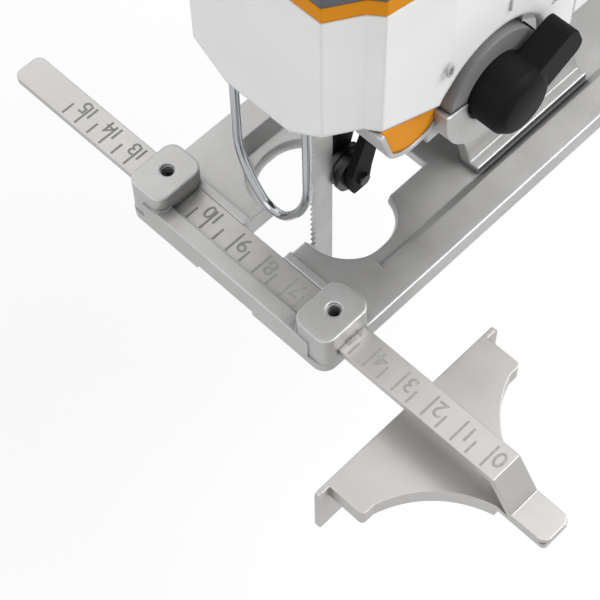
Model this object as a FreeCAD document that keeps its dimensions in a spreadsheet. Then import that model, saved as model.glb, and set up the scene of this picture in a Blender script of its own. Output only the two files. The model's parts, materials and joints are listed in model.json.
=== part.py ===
import FreeCAD, Part
import math
import os
import re

import Sketcher

# A corded jigsaw with a tilting cast base and a sliding parallel guide, in millimetres.
# X runs to the tool's left, Y to its back and Z up. X = 0 is the cutting plane, and
# Z = 0 is the sole. The base tilts about the Y axis, which lies in the sole.

Vector = FreeCAD.Vector
doc = FreeCAD.newDocument("jigsaw")
sheet = doc.addObject("Spreadsheet::Sheet", "dims")

SIZES = {
    # cast base
    "base_wide": 74.5,
    "base_front": -75.0,
    "base_back": 83.0,
    "base_corner": 4.0,
    "floor_thick": 3.0,
    "rim_high": 6.5,
    "rail_wide": 9.0,
    "rail_slope": 3.25,
    "sight_half": 7.5,
    "opening_half": 21.0,
    "opening_front": -49.0,
    "opening_back": -24.0,
    "opening_corner": 11.5,
    "opening_flare": 30.0,
    "slot_half": 12.0,
    "slot_back": -9.0,
    "front_wall_high": 9.5,
    "bead_wide": 2.7,
    "bead_high": 8.0,
    "boss_wide": 12.6,
    "boss_high": 15.0,
    "boss_set_back": 0.4,
    "boss_corner": 3.5,
    "clamp_hole_radius": 2.1,
    "clamp_hole_x": 31.0,
    # parallel guide
    "rule_front": -70.0,
    "rule_wide": 9.8,
    "rule_top": 8.0,
    "rule_thick": 2.0,
    "rule_free_end": 90.0,
    "rule_bend_x": 90.0,
    "rule_bend_run": 7.0,
    "rule_tab_long": 11.0,
    "rule_corner": 2.5,
    "rule_fit": 0.1,
    "fence_thick": 1.5,
    "fence_top": -4.0,
    "fence_inner_x": 57.0,
    "fence_wing_wide": 13.0,
    "fence_half_span": 30.0,
    "fence_flange_half": 34.0,
    "fence_flange_deep": 20.0,
    "fence_lip_deep": 5.5,
    "fence_curve": 32.0,
    # bevel bracket and its clamp
    "bracket_front": -1.6,
    "bracket_back": 44.0,
    "bracket_radius": 22.0,
    "bracket_thick": 3.5,
    "bracket_foot_x": 24.5,
    "bracket_foot_thick": 2.5,
    "bevel_gap": 0.3,
    "bevel_limit": 45.0,
    "bevel_slot_half": 3.3,
    "bevel_screw_radius": 2.9,
    "bevel_screw_head": 4.8,
    "bevel_screw_front": 11.0,
    "bevel_screw_pitch": 20.0,
    "saddle_half": 11.0,
    "clamp_plate_thick": 4.0,
    "clamp_plate_half": 7.0,
    # motor and gear train
    "motor_z": 80.0,
    "shaft_radius": 4.0,
    "tooth_module": 0.8,
    "pinion_teeth": 8.0,
    "gear_teeth": 64.0,
    "gear_front": -24.0,
    "gear_thick": 10.0,
    "running_fit": 0.05,
    "crank_radius": 10.0,
    "crank_pin_radius": 4.0,
    "crank_bush_radius": 5.5,
    "stator_radius": 29.0,
    "stator_front": 26.0,
    "stator_long": 48.0,
    "core_radius": 17.0,
    "air_gap": 0.6,
    "fan_radius": 27.0,
    "fan_front": 6.2,
    "fan_long": 9.6,
    "commutator_radius": 11.0,
    "commutator_front": 78.0,
    "commutator_long": 12.0,
    "front_bearing_radius": 9.5,
    "rear_bearing_radius": 8.0,
    "rear_bearing_front": 100.0,
    "bearing_long": 6.0,
    # cast gear case
    "case_front": -30.0,
    "case_back": -2.0,
    "case_side_wall": 1.4,
    "case_bottom": 50.0,
    "case_wall": 4.0,
    "gear_clearance": 0.8,
    "cheek_front": -48.0,
    "cheek_bottom": 58.4,
    "cheek_top": 100.0,
    "cheek_in": 20.0,
    "cheek_out": 27.2,
    "bearing_plate_thick": 5.0,
    # plunger, blade and its holder
    "blade_wide": 7.7,
    "blade_front": -42.0,
    "blade_thick": 1.1,
    "blade_tip_z": -36.0,
    "blade_shoulder_z": 38.0,
    "shank_wide": 6.4,
    "shank_long": 26.0,
    "tooth_pitch": 2.5,
    "tooth_deep": 1.3,
    "stroke_half": 10.0,
    "rod_radius": 4.5,
    "rod_top": 152.0,
    "bush_radius": 7.0,
    "guide_arm_half": 9.5,
    "lower_guide_z": 79.0,
    "lower_guide_high": 10.0,
    "upper_guide_z": 130.0,
    "upper_guide_high": 11.0,
    "yoke_half": 17.0,
    "yoke_high": 18.0,
    "yoke_thick": 5.6,
    "open_pivot_gap": 0.4,
    "holder_radius": 7.5,
    "holder_bottom": 50.0,
    "holder_high": 18.0,
    "ring_radius": 10.5,
    "ring_gap": 0.3,
    "ring_bottom": 54.0,
    "ring_high": 9.0,
    # roller guide
    "roller_radius": 6.5,
    "roller_wide": 5.0,
    "roller_z": 9.0,
    "blade_gap": 0.15,
    "roller_pin_radius": 1.8,
    "fork_thick": 2.5,
    "fork_side_gap": 0.4,
    "arm_pivot_y": -15.0,
    "arm_pivot_z": 45.0,
    "arm_pivot_radius": 2.0,
    "lug_thick": 3.0,
    # wire guard
    "guard_wire_radius": 1.25,
    "guard_half": 12.5,
    "guard_y": -55.6,
    "guard_bottom": 16.5,
    "guard_top": 78.0,
    "guard_bottom_bend": 6.0,
    "guard_flank_bend": 32.0,
    # nose cover and orbit selector
    "nose_front": -59.5,
    "nose_half": 21.3,
    "nose_low": 66.5,
    "nose_corner_low": 74.5,
    "nose_side_low": 69.0,
    "nose_tail_low": 60.0,
    "cover_gap": 2.9,
    "cover_wall": 2.5,
    "cover_back": 16.0,
    "shell_top": 115.0,
    "seam": 0.3,
    "dial_y": -13.7,
    "dial_z": 64.0,
    "dial_radius": 15.5,
    "dial_out": 34.2,
    "dial_recess": 3.6,
    "knob_radius": 8.0,
    "knob_out": 45.0,
    "lever_long": 22.5,
    "lever_wide": 11.0,
    "lever_angle": 28.0,
    "selector_shaft_radius": 4.0,
    "selector_shaft_in": 18.0,
    # motor housing, band and handle
    "shell_bottom": 47.5,
    "shell_back": 118.0,
    "shell_chamfer": 16.0,
    "tail_half": 25.0,
    "shell_wall": 2.6,
    "band_high": 4.5,
    "handle_half": 17.5,
    "handle_top": 186.0,
    "window_front": 8.6,
    "window_back": 90.0,
    "window_low": 126.0,
    "window_high": 151.0,
    "grip_thick": 1.6,
    "trigger_front": 14.0,
    "trigger_long": 21.0,
    "trigger_half": 8.0,
    "trigger_low": 142.5,
    "trigger_high": 13.0,
    "trigger_gap": 0.5,
    "lock_y": 24.0,
    "lock_z": 168.0,
    "lock_radius": 4.5,
    "wheel_y": -8.0,
    "wheel_z": 173.0,
    "wheel_radius": 10.5,
    "wheel_half": 3.0,
    "inlet_z": 150.0,
    "inlet_radius": 8.0,
    "inlet_bore": 4.0,
    "inlet_long": 30.0,
    "screw_radius": 1.8,
    "screw_head": 3.6,
}

for row, (word, size) in enumerate(SIZES.items(), start=1):
    sheet.set("A%d" % row, word)
    sheet.set("B%d" % row, str(size))
    sheet.setAlias("B%d" % row, word)
doc.recompute()

# Places that follow from the sizes above, as expressions on the sheet.
RULE_BACK = "(rule_front + rule_wide)"
RULE_MID = "(rule_front + rule_wide / 2)"
RULE_LOW = "(rule_top - rule_thick)"
BLADE_MID = "(blade_front + blade_wide / 2)"
BLADE_BACK = "(blade_front + blade_wide)"
GEAR_Z = "(motor_z + tooth_module * (pinion_teeth + gear_teeth) / 2)"
GEAR_BACK = "(gear_front + gear_thick)"
CAVITY_RADIUS = "(tooth_module * gear_teeth / 2 + tooth_module + gear_clearance)"
PLATE_BACK = "(case_back + bearing_plate_thick)"
LOWER_GUIDE_TOP = "(lower_guide_z + lower_guide_high)"
UPPER_GUIDE_TOP = "(upper_guide_z + upper_guide_high)"
GUARD_BACK = "(blade_front + blade_wide / 2 - ring_radius - 0.7)"
YOKE_BACK = "(case_front - open_pivot_gap)"
ROLLER_Y = "(blade_front + blade_wide + blade_gap + roller_radius)"
BAND_LOW = "(shell_top + seam)"
BAND_TOP = "(shell_top + seam + band_high)"
HANDLE_LOW = "(shell_top + 2 * seam + band_high)"
CASE_FACE = "(case_half + seam)"

# Widths that follow from the gear, used by name in the expressions below.
DERIVED = {
    "case_half": "(%s + case_side_wall)" % CAVITY_RADIUS,
    "body_half": "(%s + case_side_wall + cover_gap + cover_wall)" % CAVITY_RADIUS,
}

NODES = []


def ex(text):
    """Points each size named in the text at its cell in the sheet."""
    text = re.sub(r"[a-z][a-z_]*", lambda m: DERIVED.get(m[0], m[0]), str(text))
    return re.sub(r"[a-z][a-z_]*", lambda m: "dims." + m[0] if m[0] in SIZES else m[0], text)


def val(text):
    """The number that an expression comes to."""
    return float(sheet.evalExpression(ex(text)))


def node(thing, label):
    """Names a finished sub-part, which also names its file."""
    thing.Label = label
    NODES.append(thing)
    return thing


def place(thing, x, y, z):
    for letter, spot in zip("xyz", (x, y, z)):
        thing.setExpression("Placement.Base." + letter, ex(spot))


def block(name, x, y, z):
    """A box between two values on each axis."""
    box = doc.addObject("Part::Box", name)
    for side, (low, high) in zip(("Length", "Width", "Height"), (x, y, z)):
        box.setExpression(side, ex("(%s) - (%s)" % (high, low)))
    place(box, x[0], y[0], z[0])
    return box


AXES = {"X": Vector(1, 0, 0), "Y": Vector(0, 1, 0), "Z": Vector(0, 0, 1)}


def rod(name, axis, centre, radius, span, angle=None):
    """A cylinder along an axis. The centre gives the other two coordinates in X, Y, Z order."""
    cylinder = doc.addObject("Part::Cylinder", name)
    cylinder.setExpression("Radius", ex(radius))
    cylinder.setExpression("Height", ex("(%s) - (%s)" % (span[1], span[0])))
    cylinder.Placement = FreeCAD.Placement(Vector(), FreeCAD.Rotation(AXES["Z"], AXES[axis]))
    spots = list(centre)
    spots.insert("XYZ".index(axis), span[0])
    place(cylinder, *spots)
    return cylinder


def sleeve(name, axis, centre, outer, inner, span):
    """A round tube along an axis."""
    bore = ("(%s) - 1" % span[0], "(%s) + 1" % span[1])
    return cut(
        name,
        rod(name + "_outer", axis, centre, outer, span),
        rod(name + "_bore", axis, centre, inner, bore),
    )


def fuse(name, pieces):
    joined = doc.addObject("Part::MultiFuse", name)
    joined.Shapes = pieces
    joined.Refine = True
    return joined


def common(name, pieces):
    shared = doc.addObject("Part::MultiCommon", name)
    shared.Shapes = pieces
    return shared


def cut(name, base, *tools):
    """The base with each tool taken away."""
    for index, tool in enumerate(tools):
        left = doc.addObject(
            "Part::Cut",
            name if index == len(tools) - 1 else "%s_cut%d" % (name, index),
        )
        left.Base = base
        left.Tool = tool
        base = left
    return base


def group(name, pieces):
    """Separate solids that share one node."""
    bundle = doc.addObject("Part::Compound", name)
    bundle.Links = pieces
    return bundle


def edge_of(start, end, radius):
    """A line, or an arc of a signed radius: a positive one turns left on its way to the end."""
    if radius is None:
        return Part.LineSegment(start, end), 1, 2
    half = (end - start) / 2
    left = Vector(-half.y, half.x, 0).normalize()
    reach = math.sqrt(max(radius**2 - half.Length**2, 0))
    centre = start + half + left * math.copysign(reach, radius)
    first, last = (start, end) if radius > 0 else (end, start)
    angles = [math.atan2(p.y - centre.y, p.x - centre.x) for p in (first, last)]
    if angles[1] < angles[0]:
        angles[1] += 2 * math.pi
    arc = Part.ArcOfCircle(Part.Circle(centre, AXES["Z"], abs(radius)), *angles)
    return (arc, 1, 2) if radius > 0 else (arc, 2, 1)


def draw(body, name, plane, points, offset):
    """A closed outline in a sketch whose corners and radii are tied to the sheet.

    A point is (u, v), or (u, v, radius) where the edge that leaves it is an arc.
    """
    sketch = body.newObject("Sketcher::SketchObject", name)
    origin = [f for f in body.Origin.OriginFeatures if f.Role == plane + "_Plane"][0]
    sketch.AttachmentSupport = [(origin, "")]
    sketch.MapMode = "FlatFace"
    sketch.setExpression("AttachmentOffset.Base.z", ex(offset))
    spots = [Vector(val(p[0]), val(p[1]), 0) for p in points]
    ends = []
    for index, point in enumerate(points):
        radius = val(point[2]) if len(point) > 2 else None
        shape, first, last = edge_of(spots[index], spots[(index + 1) % len(points)], radius)
        sketch.addGeometry(shape)
        ends.append((first, last))
        if radius is not None:
            tie(sketch, "radius%d" % index, ("Radius", index, abs(radius)), "abs(%s)" % point[2])
    for index in range(len(points)):
        after = (index + 1) % len(points)
        sketch.addConstraint(
            Sketcher.Constraint("Coincident", index, ends[index][1], after, ends[after][0])
        )
    for index, point in enumerate(points):
        corner = (-1, 1, index, ends[index][0])
        tie(sketch, "u%d" % index, ("DistanceX", *corner, spots[index].x), point[0])
        tie(sketch, "v%d" % index, ("DistanceY", *corner, spots[index].y), point[1])
    return sketch


def tie(sketch, name, constraint, text):
    made = sketch.addConstraint(Sketcher.Constraint(*constraint))
    sketch.renameConstraint(made, name)
    sketch.setExpression("Constraints." + name, ex(text))


def prism(name, plane, points, span, corner=None, sharp=(), taper=None):
    """A padded outline. Its edges along the pad are rounded by the corner radius, apart from
    those at the points whose numbers are in sharp. A taper in degrees widens it along the pad."""
    body = doc.addObject("PartDesign::Body", name)
    offset = "-(%s)" % span[1] if plane == "XZ" else span[0]
    sketch = draw(body, name + "_outline", plane, points, offset)
    pad = body.newObject("PartDesign::Pad", name + "_pad")
    pad.Profile = sketch
    pad.setExpression("Length", ex("(%s) - (%s)" % (span[1], span[0])))
    if taper is not None:
        pad.setExpression("TaperAngle", ex(taper))
    if corner is not None:
        doc.recompute()
        along = {"XY": AXES["Z"], "XZ": AXES["Y"], "YZ": AXES["X"]}[plane]
        kept = [
            sketch.Placement.multVec(Vector(val(points[i][0]), val(points[i][1]), 0))
            for i in sharp
        ]
        names = []
        for number, edge in enumerate(pad.Shape.Edges, start=1):
            line = edge.Vertexes[-1].Point - edge.Vertexes[0].Point
            runs_along = line.Length > 0 and abs(line.normalize().dot(along)) > 0.999
            near = any((edge.Vertexes[0].Point - k).cross(along).Length < 0.01 for k in kept)
            if runs_along and not near:
                names.append("Edge%d" % number)
        fillet = body.newObject("PartDesign::Fillet", name + "_round")
        fillet.Base = (pad, names)
        fillet.setExpression("Radius", ex(corner))
        body.Tip = fillet
    return body


def rectangle(u, v):
    return [(u[0], v[0]), (u[1], v[0]), (u[1], v[1]), (u[0], v[1])]


def shaped(label, make):
    """A shape made by a formula that no sketch or primitive fits."""
    feature = doc.addObject("Part::Feature", label)
    feature.Shape = make
    return feature


def toothed(label, teeth, y_from, y_to, centre_z, tooth_on_top):
    """A straight-toothed wheel on the Y axis, with a gap of about a tenth of a pitch in mesh."""
    module = val("tooth_module")
    pitch_radius = module * teeth / 2
    pitch_angle = 2 * math.pi / teeth
    start = 0 if tooth_on_top else pitch_angle / 2
    flanks = ((-1.0, -0.29), (1.0, -0.11), (1.0, 0.11), (-1.0, 0.29))
    points = []
    for tooth in range(teeth):
        for rise, share in flanks:
            radius = pitch_radius + module * rise
            angle = start + (tooth + share) * pitch_angle
            points.append(
                Vector(radius * math.sin(angle), y_from, centre_z + radius * math.cos(angle))
            )
    outline = Part.makePolygon(points + points[:1])
    return shaped(label, Part.Face(outline).extrude(Vector(0, y_to - y_from, 0)))


# ---------------------------------------------------------------- cast base


def base_plate():
    """Sole, rails, the seat of the guide rule, the two clamp bosses and the openings."""
    half = "base_wide / 2"
    pieces = [
        prism(
            "base_floor",
            "XY",
            rectangle(("-%s" % half, half), ("base_front", "base_back")),
            ("0", "floor_thick"),
            "base_corner",
        ),
        block(
            "rule_bed",
            ("-%s" % half, half),
            (RULE_MID, "rule_front + rule_wide + rule_fit"),
            ("0", RULE_LOW + " - rule_fit"),
        ),
        block(
            "rule_bed_front",
            ("-%s" % half, half),
            ("rule_front - rule_fit", RULE_MID),
            ("0", RULE_LOW + " - rule_fit"),
        ),
        block(
            "front_wall",
            ("-clamp_hole_x", "clamp_hole_x"),
            ("base_front", "rule_front - rule_fit"),
            ("0", "front_wall_high"),
        ),
        block(
            "rear_wall",
            ("base_corner - %s" % half, "%s - base_corner" % half),
            ("base_back - floor_thick", "base_back"),
            ("0", "rim_high"),
        ),
    ]
    bosses = []
    for side, sign in (("left", ""), ("right", "-")):
        outer, inner = "%s(%s)" % (sign, half), "%s(%s - rail_wide)" % (sign, half)
        rail = [
            (outer, "0"),
            (outer, "rim_high"),
            (inner, "rim_high"),
            ("%s(%s - rail_wide - rail_slope)" % (sign, half), "floor_thick"),
            ("%s(%s - rail_wide - rail_slope)" % (sign, half), "0"),
        ]
        pieces.append(prism("rail_" + side, "XZ", rail, (RULE_BACK, "base_back - base_corner")))
        boss_x = sorted((outer, "%s(%s - boss_wide)" % (sign, half)), key=val)
        boss_y = ("base_front + boss_set_back", "rule_front + rule_wide + rule_fit + bead_wide")
        bosses.append(
            prism(
                "boss_" + side,
                "XY",
                rectangle(boss_x, boss_y),
                ("0", "boss_high"),
                "boss_corner",
            )
        )
        bead_x = sorted(("%ssight_half" % sign, "%s(%s - boss_wide + 1)" % (sign, half)), key=val)
        bead_y = (
            "rule_front + rule_wide + rule_fit",
            "rule_front + rule_wide + rule_fit + bead_wide",
        )
        pieces.append(block("bead_" + side, bead_x, bead_y, ("0", "bead_high")))
        brow_x = sorted(("%ssight_half" % sign, inner), key=val)
        brow_y = (RULE_BACK + " + rule_fit", "opening_front + opening_corner / 2")
        pieces.append(prism("brow_" + side, "XY", rectangle(brow_x, brow_y), ("0", "rim_high")))
    slot_z = (RULE_LOW + " - rule_fit", "rule_top + rule_fit")
    rule_slot = block(
        "rule_slot",
        ("-base_wide", "base_wide"),
        ("rule_front - rule_fit", RULE_BACK + " + rule_fit"),
        slot_z,
    )
    opening_y = ("opening_front", "opening_back")
    opening = prism(
        "sole_opening",
        "XY",
        rectangle(("-opening_half", "opening_half"), opening_y),
        ("-1", "rim_high + 1"),
        "opening_corner",
    )
    left, right, near, far = "-opening_half", "opening_half", opening_y[0], opening_y[1]
    bend = "opening_corner"
    rounded = [
        (left + " + " + bend, near),
        (right + " - " + bend, near, bend),
        (right, near + " + " + bend),
        (right, far + " - " + bend, bend),
        (right + " - " + bend, far),
        (left + " + " + bend, far, bend),
        (left, far + " - " + bend),
        (left, near + " + " + bend, bend),
    ]
    flare = prism(
        "opening_flare_tool",
        "XY",
        rounded,
        ("1.5", "rim_high + 1"),
        taper="opening_flare",
    )
    tools = [
        rule_slot,
        opening,
        flare,
        block(
            "sight_gap",
            ("-sight_half", "sight_half"),
            (RULE_BACK + " + rule_fit", "opening_front + 2"),
            ("-1", "boss_high"),
        ),
        block(
            "fork_slot",
            ("-slot_half", "slot_half"),
            ("opening_back - 2", "slot_back"),
            ("-1", "rim_high"),
        ),
        block(
            "key_window",
            ("-clamp_plate_half", "clamp_plate_half"),
            (
                "bevel_screw_front - bevel_screw_head",
                "bevel_screw_front + bevel_screw_pitch + bevel_screw_head",
            ),
            ("-1", "rim_high"),
        ),
        block(
            "front_step",
            ("-opening_half / 2", "opening_half / 2"),
            ("base_front - 1", "base_front + 2"),
            ("-1", "1.5"),
        ),
    ]
    for side, sign in (("left", ""), ("right", "-")):
        where = ("%sclamp_hole_x" % sign, RULE_MID)
        tools.append(
            rod(
                "clamp_hole_" + side,
                "Z",
                where,
                "clamp_hole_radius",
                ("rule_top", "boss_high + 1"),
            )
        )
    node(cut("base_plate", fuse("base_cast", pieces + bosses), *tools), "base_plate")


def sector(name, outer, inner, half_angle, y):
    """Part of a ring about the tilt axis, centred on the upright."""
    ring = sleeve(name + "_ring", "Y", ("0", "0"), outer, inner, y)
    wedge = [
        ("0", "0"),
        ("-2 * %s * sin(%s)" % (outer, half_angle), "2 * %s * cos(%s)" % (outer, half_angle)),
    ]
    wedge.append(("0", "3 * %s" % outer))
    wedge.append(
        ("2 * %s * sin(%s)" % (outer, half_angle), "2 * %s * cos(%s)" % (outer, half_angle))
    )
    return common(name, [ring, prism(name + "_wedge", "XZ", wedge, y)])


def bevel_parts():
    """The arched bracket on the base, the plate under its arch and the two screws that clamp it."""
    y = ("bracket_front", "bracket_back")
    inner = "(bracket_radius - bracket_thick)"
    arch = sleeve("arch_ring", "Y", ("0", "0"), "bracket_radius", inner, y)
    below = block(
        "arch_below",
        ("-base_wide", "base_wide"),
        ("bracket_front - 1", "bracket_back + 1"),
        ("-base_wide", "floor_thick"),
    )
    pieces = [cut("arch", arch, below)]
    foot_z = ("floor_thick", "floor_thick + bracket_foot_thick")
    screws = []
    for side, sign in (("left", ""), ("right", "-")):
        foot_x = sorted(
            ("%s(bracket_radius - bracket_thick / 2)" % sign, "%sbracket_foot_x" % sign),
            key=val,
        )
        foot = block("bracket_foot_" + side, foot_x, y, foot_z)
        pieces.append(foot)
    slots = []
    for index in range(2):
        at = "(bevel_screw_front + %d * bevel_screw_pitch)" % index
        slot_y = (at + " - bevel_slot_half", at + " + bevel_slot_half")
        slots.append(
            sector(
                "bevel_slot%d" % index,
                "(bracket_radius + 1)",
                "(%s - 1)" % inner,
                "(bevel_limit + 11)",
                slot_y,
            )
        )
        clamp_low = "(%s - bevel_gap - clamp_plate_thick)" % inner
        shank = rod(
            "bevel_shank%d" % index,
            "Z",
            ("0", at),
            "bevel_screw_radius",
            (clamp_low, "bracket_radius + 14"),
        )
        head = rod(
            "bevel_head%d" % index,
            "Z",
            ("0", at),
            "bevel_screw_head",
            (clamp_low + " - 4", clamp_low),
        )
        key = doc.addObject("Part::Prism", "bevel_key%d" % index)
        key.Polygon = 6
        key.setExpression("Circumradius", ex("bevel_screw_radius"))
        key.setExpression("Height", ex("3"))
        place(key, "0", at, clamp_low + " - 5")
        screws.append(
            cut("bevel_screw%d" % index, fuse("bevel_screw_blank%d" % index, [shank, head]), key)
        )
    notches = []
    for step in range(-3, 4):
        angle = "(%d * bevel_limit / 3)" % step
        where = ("bracket_radius * sin(%s)" % angle, "bracket_radius * cos(%s)" % angle)
        notches.append(
            rod(
                "bevel_notch%d" % (step + 3),
                "Y",
                where,
                "1.1",
                ("bracket_front - 1", "bracket_front + 3"),
            )
        )
    node(cut("bevel_bracket", fuse("bracket_cast", pieces), *slots, *notches), "bevel_bracket")
    plate_outer = "(%s - bevel_gap)" % inner
    plate_y = ("bracket_front + 3", "bracket_back - 3")
    ring = sleeve(
        "clamp_ring",
        "Y",
        ("0", "0"),
        plate_outer,
        plate_outer + " - clamp_plate_thick",
        plate_y,
    )
    window = block(
        "clamp_window",
        ("-clamp_plate_half", "clamp_plate_half"),
        plate_y,
        ("0", "bracket_radius"),
    )
    holes = [
        rod(
            "clamp_hole%d" % i,
            "Z",
            ("0", "bevel_screw_front + %d * bevel_screw_pitch" % i),
            "bevel_screw_radius",
            ("0", "bracket_radius"),
        )
        for i in range(2)
    ]
    seats = [
        rod(
            "clamp_seat%d" % i,
            "Z",
            ("0", "bevel_screw_front + %d * bevel_screw_pitch" % i),
            "bevel_screw_head",
            ("0", plate_outer + " - clamp_plate_thick"),
        )
        for i in range(2)
    ]
    node(cut("clamp_plate", common("clamp_blank", [ring, window]), *holes, *seats), "clamp_plate")
    node(group("bevel_screws", screws), "bevel_screws")


# ---------------------------------------------------------------- parallel guide


def guide():
    """The ruled bar that slides through the bosses, and the pressed fence under its bent end."""
    bend = "(rule_bend_x + rule_bend_run)"
    bar = [
        ("-rule_free_end", RULE_LOW),
        ("-rule_free_end", "rule_top"),
        ("rule_bend_x", "rule_top"),
        (bend, "fence_top + rule_thick"),
        (bend + " + rule_tab_long", "fence_top + rule_thick"),
        (bend + " + rule_tab_long", "fence_top"),
        (bend + " - rule_thick / 2", "fence_top"),
        ("rule_bend_x - rule_thick / 2", RULE_LOW),
    ]
    blank = prism("rule_blank", "XZ", bar, ("rule_front", RULE_BACK))
    outline = rectangle(("-rule_free_end", bend + " + rule_tab_long"), ("rule_front", RULE_BACK))
    footprint = prism(
        "rule_footprint",
        "XY",
        outline,
        ("fence_top - 1", "rule_top + 1"),
        "rule_corner",
    )
    node(common("guide_rule", [blank, footprint]), "guide_rule")

    tab_end = "(rule_bend_x + rule_bend_run + rule_tab_long)"

    def outline_of(inset):
        wing_x = "(fence_inner_x + fence_wing_wide - %s)" % inset
        root_x = "(rule_bend_x + 2)"
        tab_half = "(rule_wide / 2 - %s)" % inset
        low = "(%s - fence_half_span + %s)" % (RULE_MID, inset)
        high = "(%s + fence_half_span - %s)" % (RULE_MID, inset)
        return [
            ("fence_inner_x", low),
            (wing_x, low),
            (wing_x, low + " + 4", "-(fence_curve + %s)" % inset),
            (root_x, "%s - %s" % (RULE_MID, tab_half)),
            (tab_end + " - %s" % inset, "%s - %s" % (RULE_MID, tab_half)),
            (tab_end + " - %s" % inset, "%s + %s" % (RULE_MID, tab_half)),
            (root_x, "%s + %s" % (RULE_MID, tab_half), "-(fence_curve + %s)" % inset),
            (wing_x, high + " - 4"),
            (wing_x, high),
            ("fence_inner_x", high),
        ]

    pressing = prism(
        "fence_pressing",
        "XY",
        outline_of("0"),
        ("fence_top - fence_lip_deep", "fence_top"),
        "1.4",
        (0, 3, 6, 9),
    )
    hollow = prism(
        "fence_hollow",
        "XY",
        outline_of("fence_thick"),
        ("fence_top - fence_lip_deep - 1", "fence_top - fence_thick"),
    )
    tab_room = block(
        "fence_tab_room",
        ("rule_bend_x + 2", tab_end + " + 1"),
        (RULE_MID + " - rule_wide", RULE_MID + " + rule_wide"),
        ("fence_top - fence_lip_deep - 1", "fence_top - fence_thick"),
    )
    flange = prism(
        "fence_flange",
        "YZ",
        rectangle(
            (
                RULE_MID + " - fence_flange_half",
                RULE_MID + " + fence_flange_half",
            ), ("fence_top - fence_flange_deep", "fence_top")
        ),
        ("fence_inner_x", "fence_inner_x + fence_thick"),
        "1.5",
    )
    pressed = cut("fence_pressed", pressing, hollow, tab_room)
    node(fuse("guide_fence", [pressed, flange]), "guide_fence")


# ---------------------------------------------------------------- gear case and drive


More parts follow.
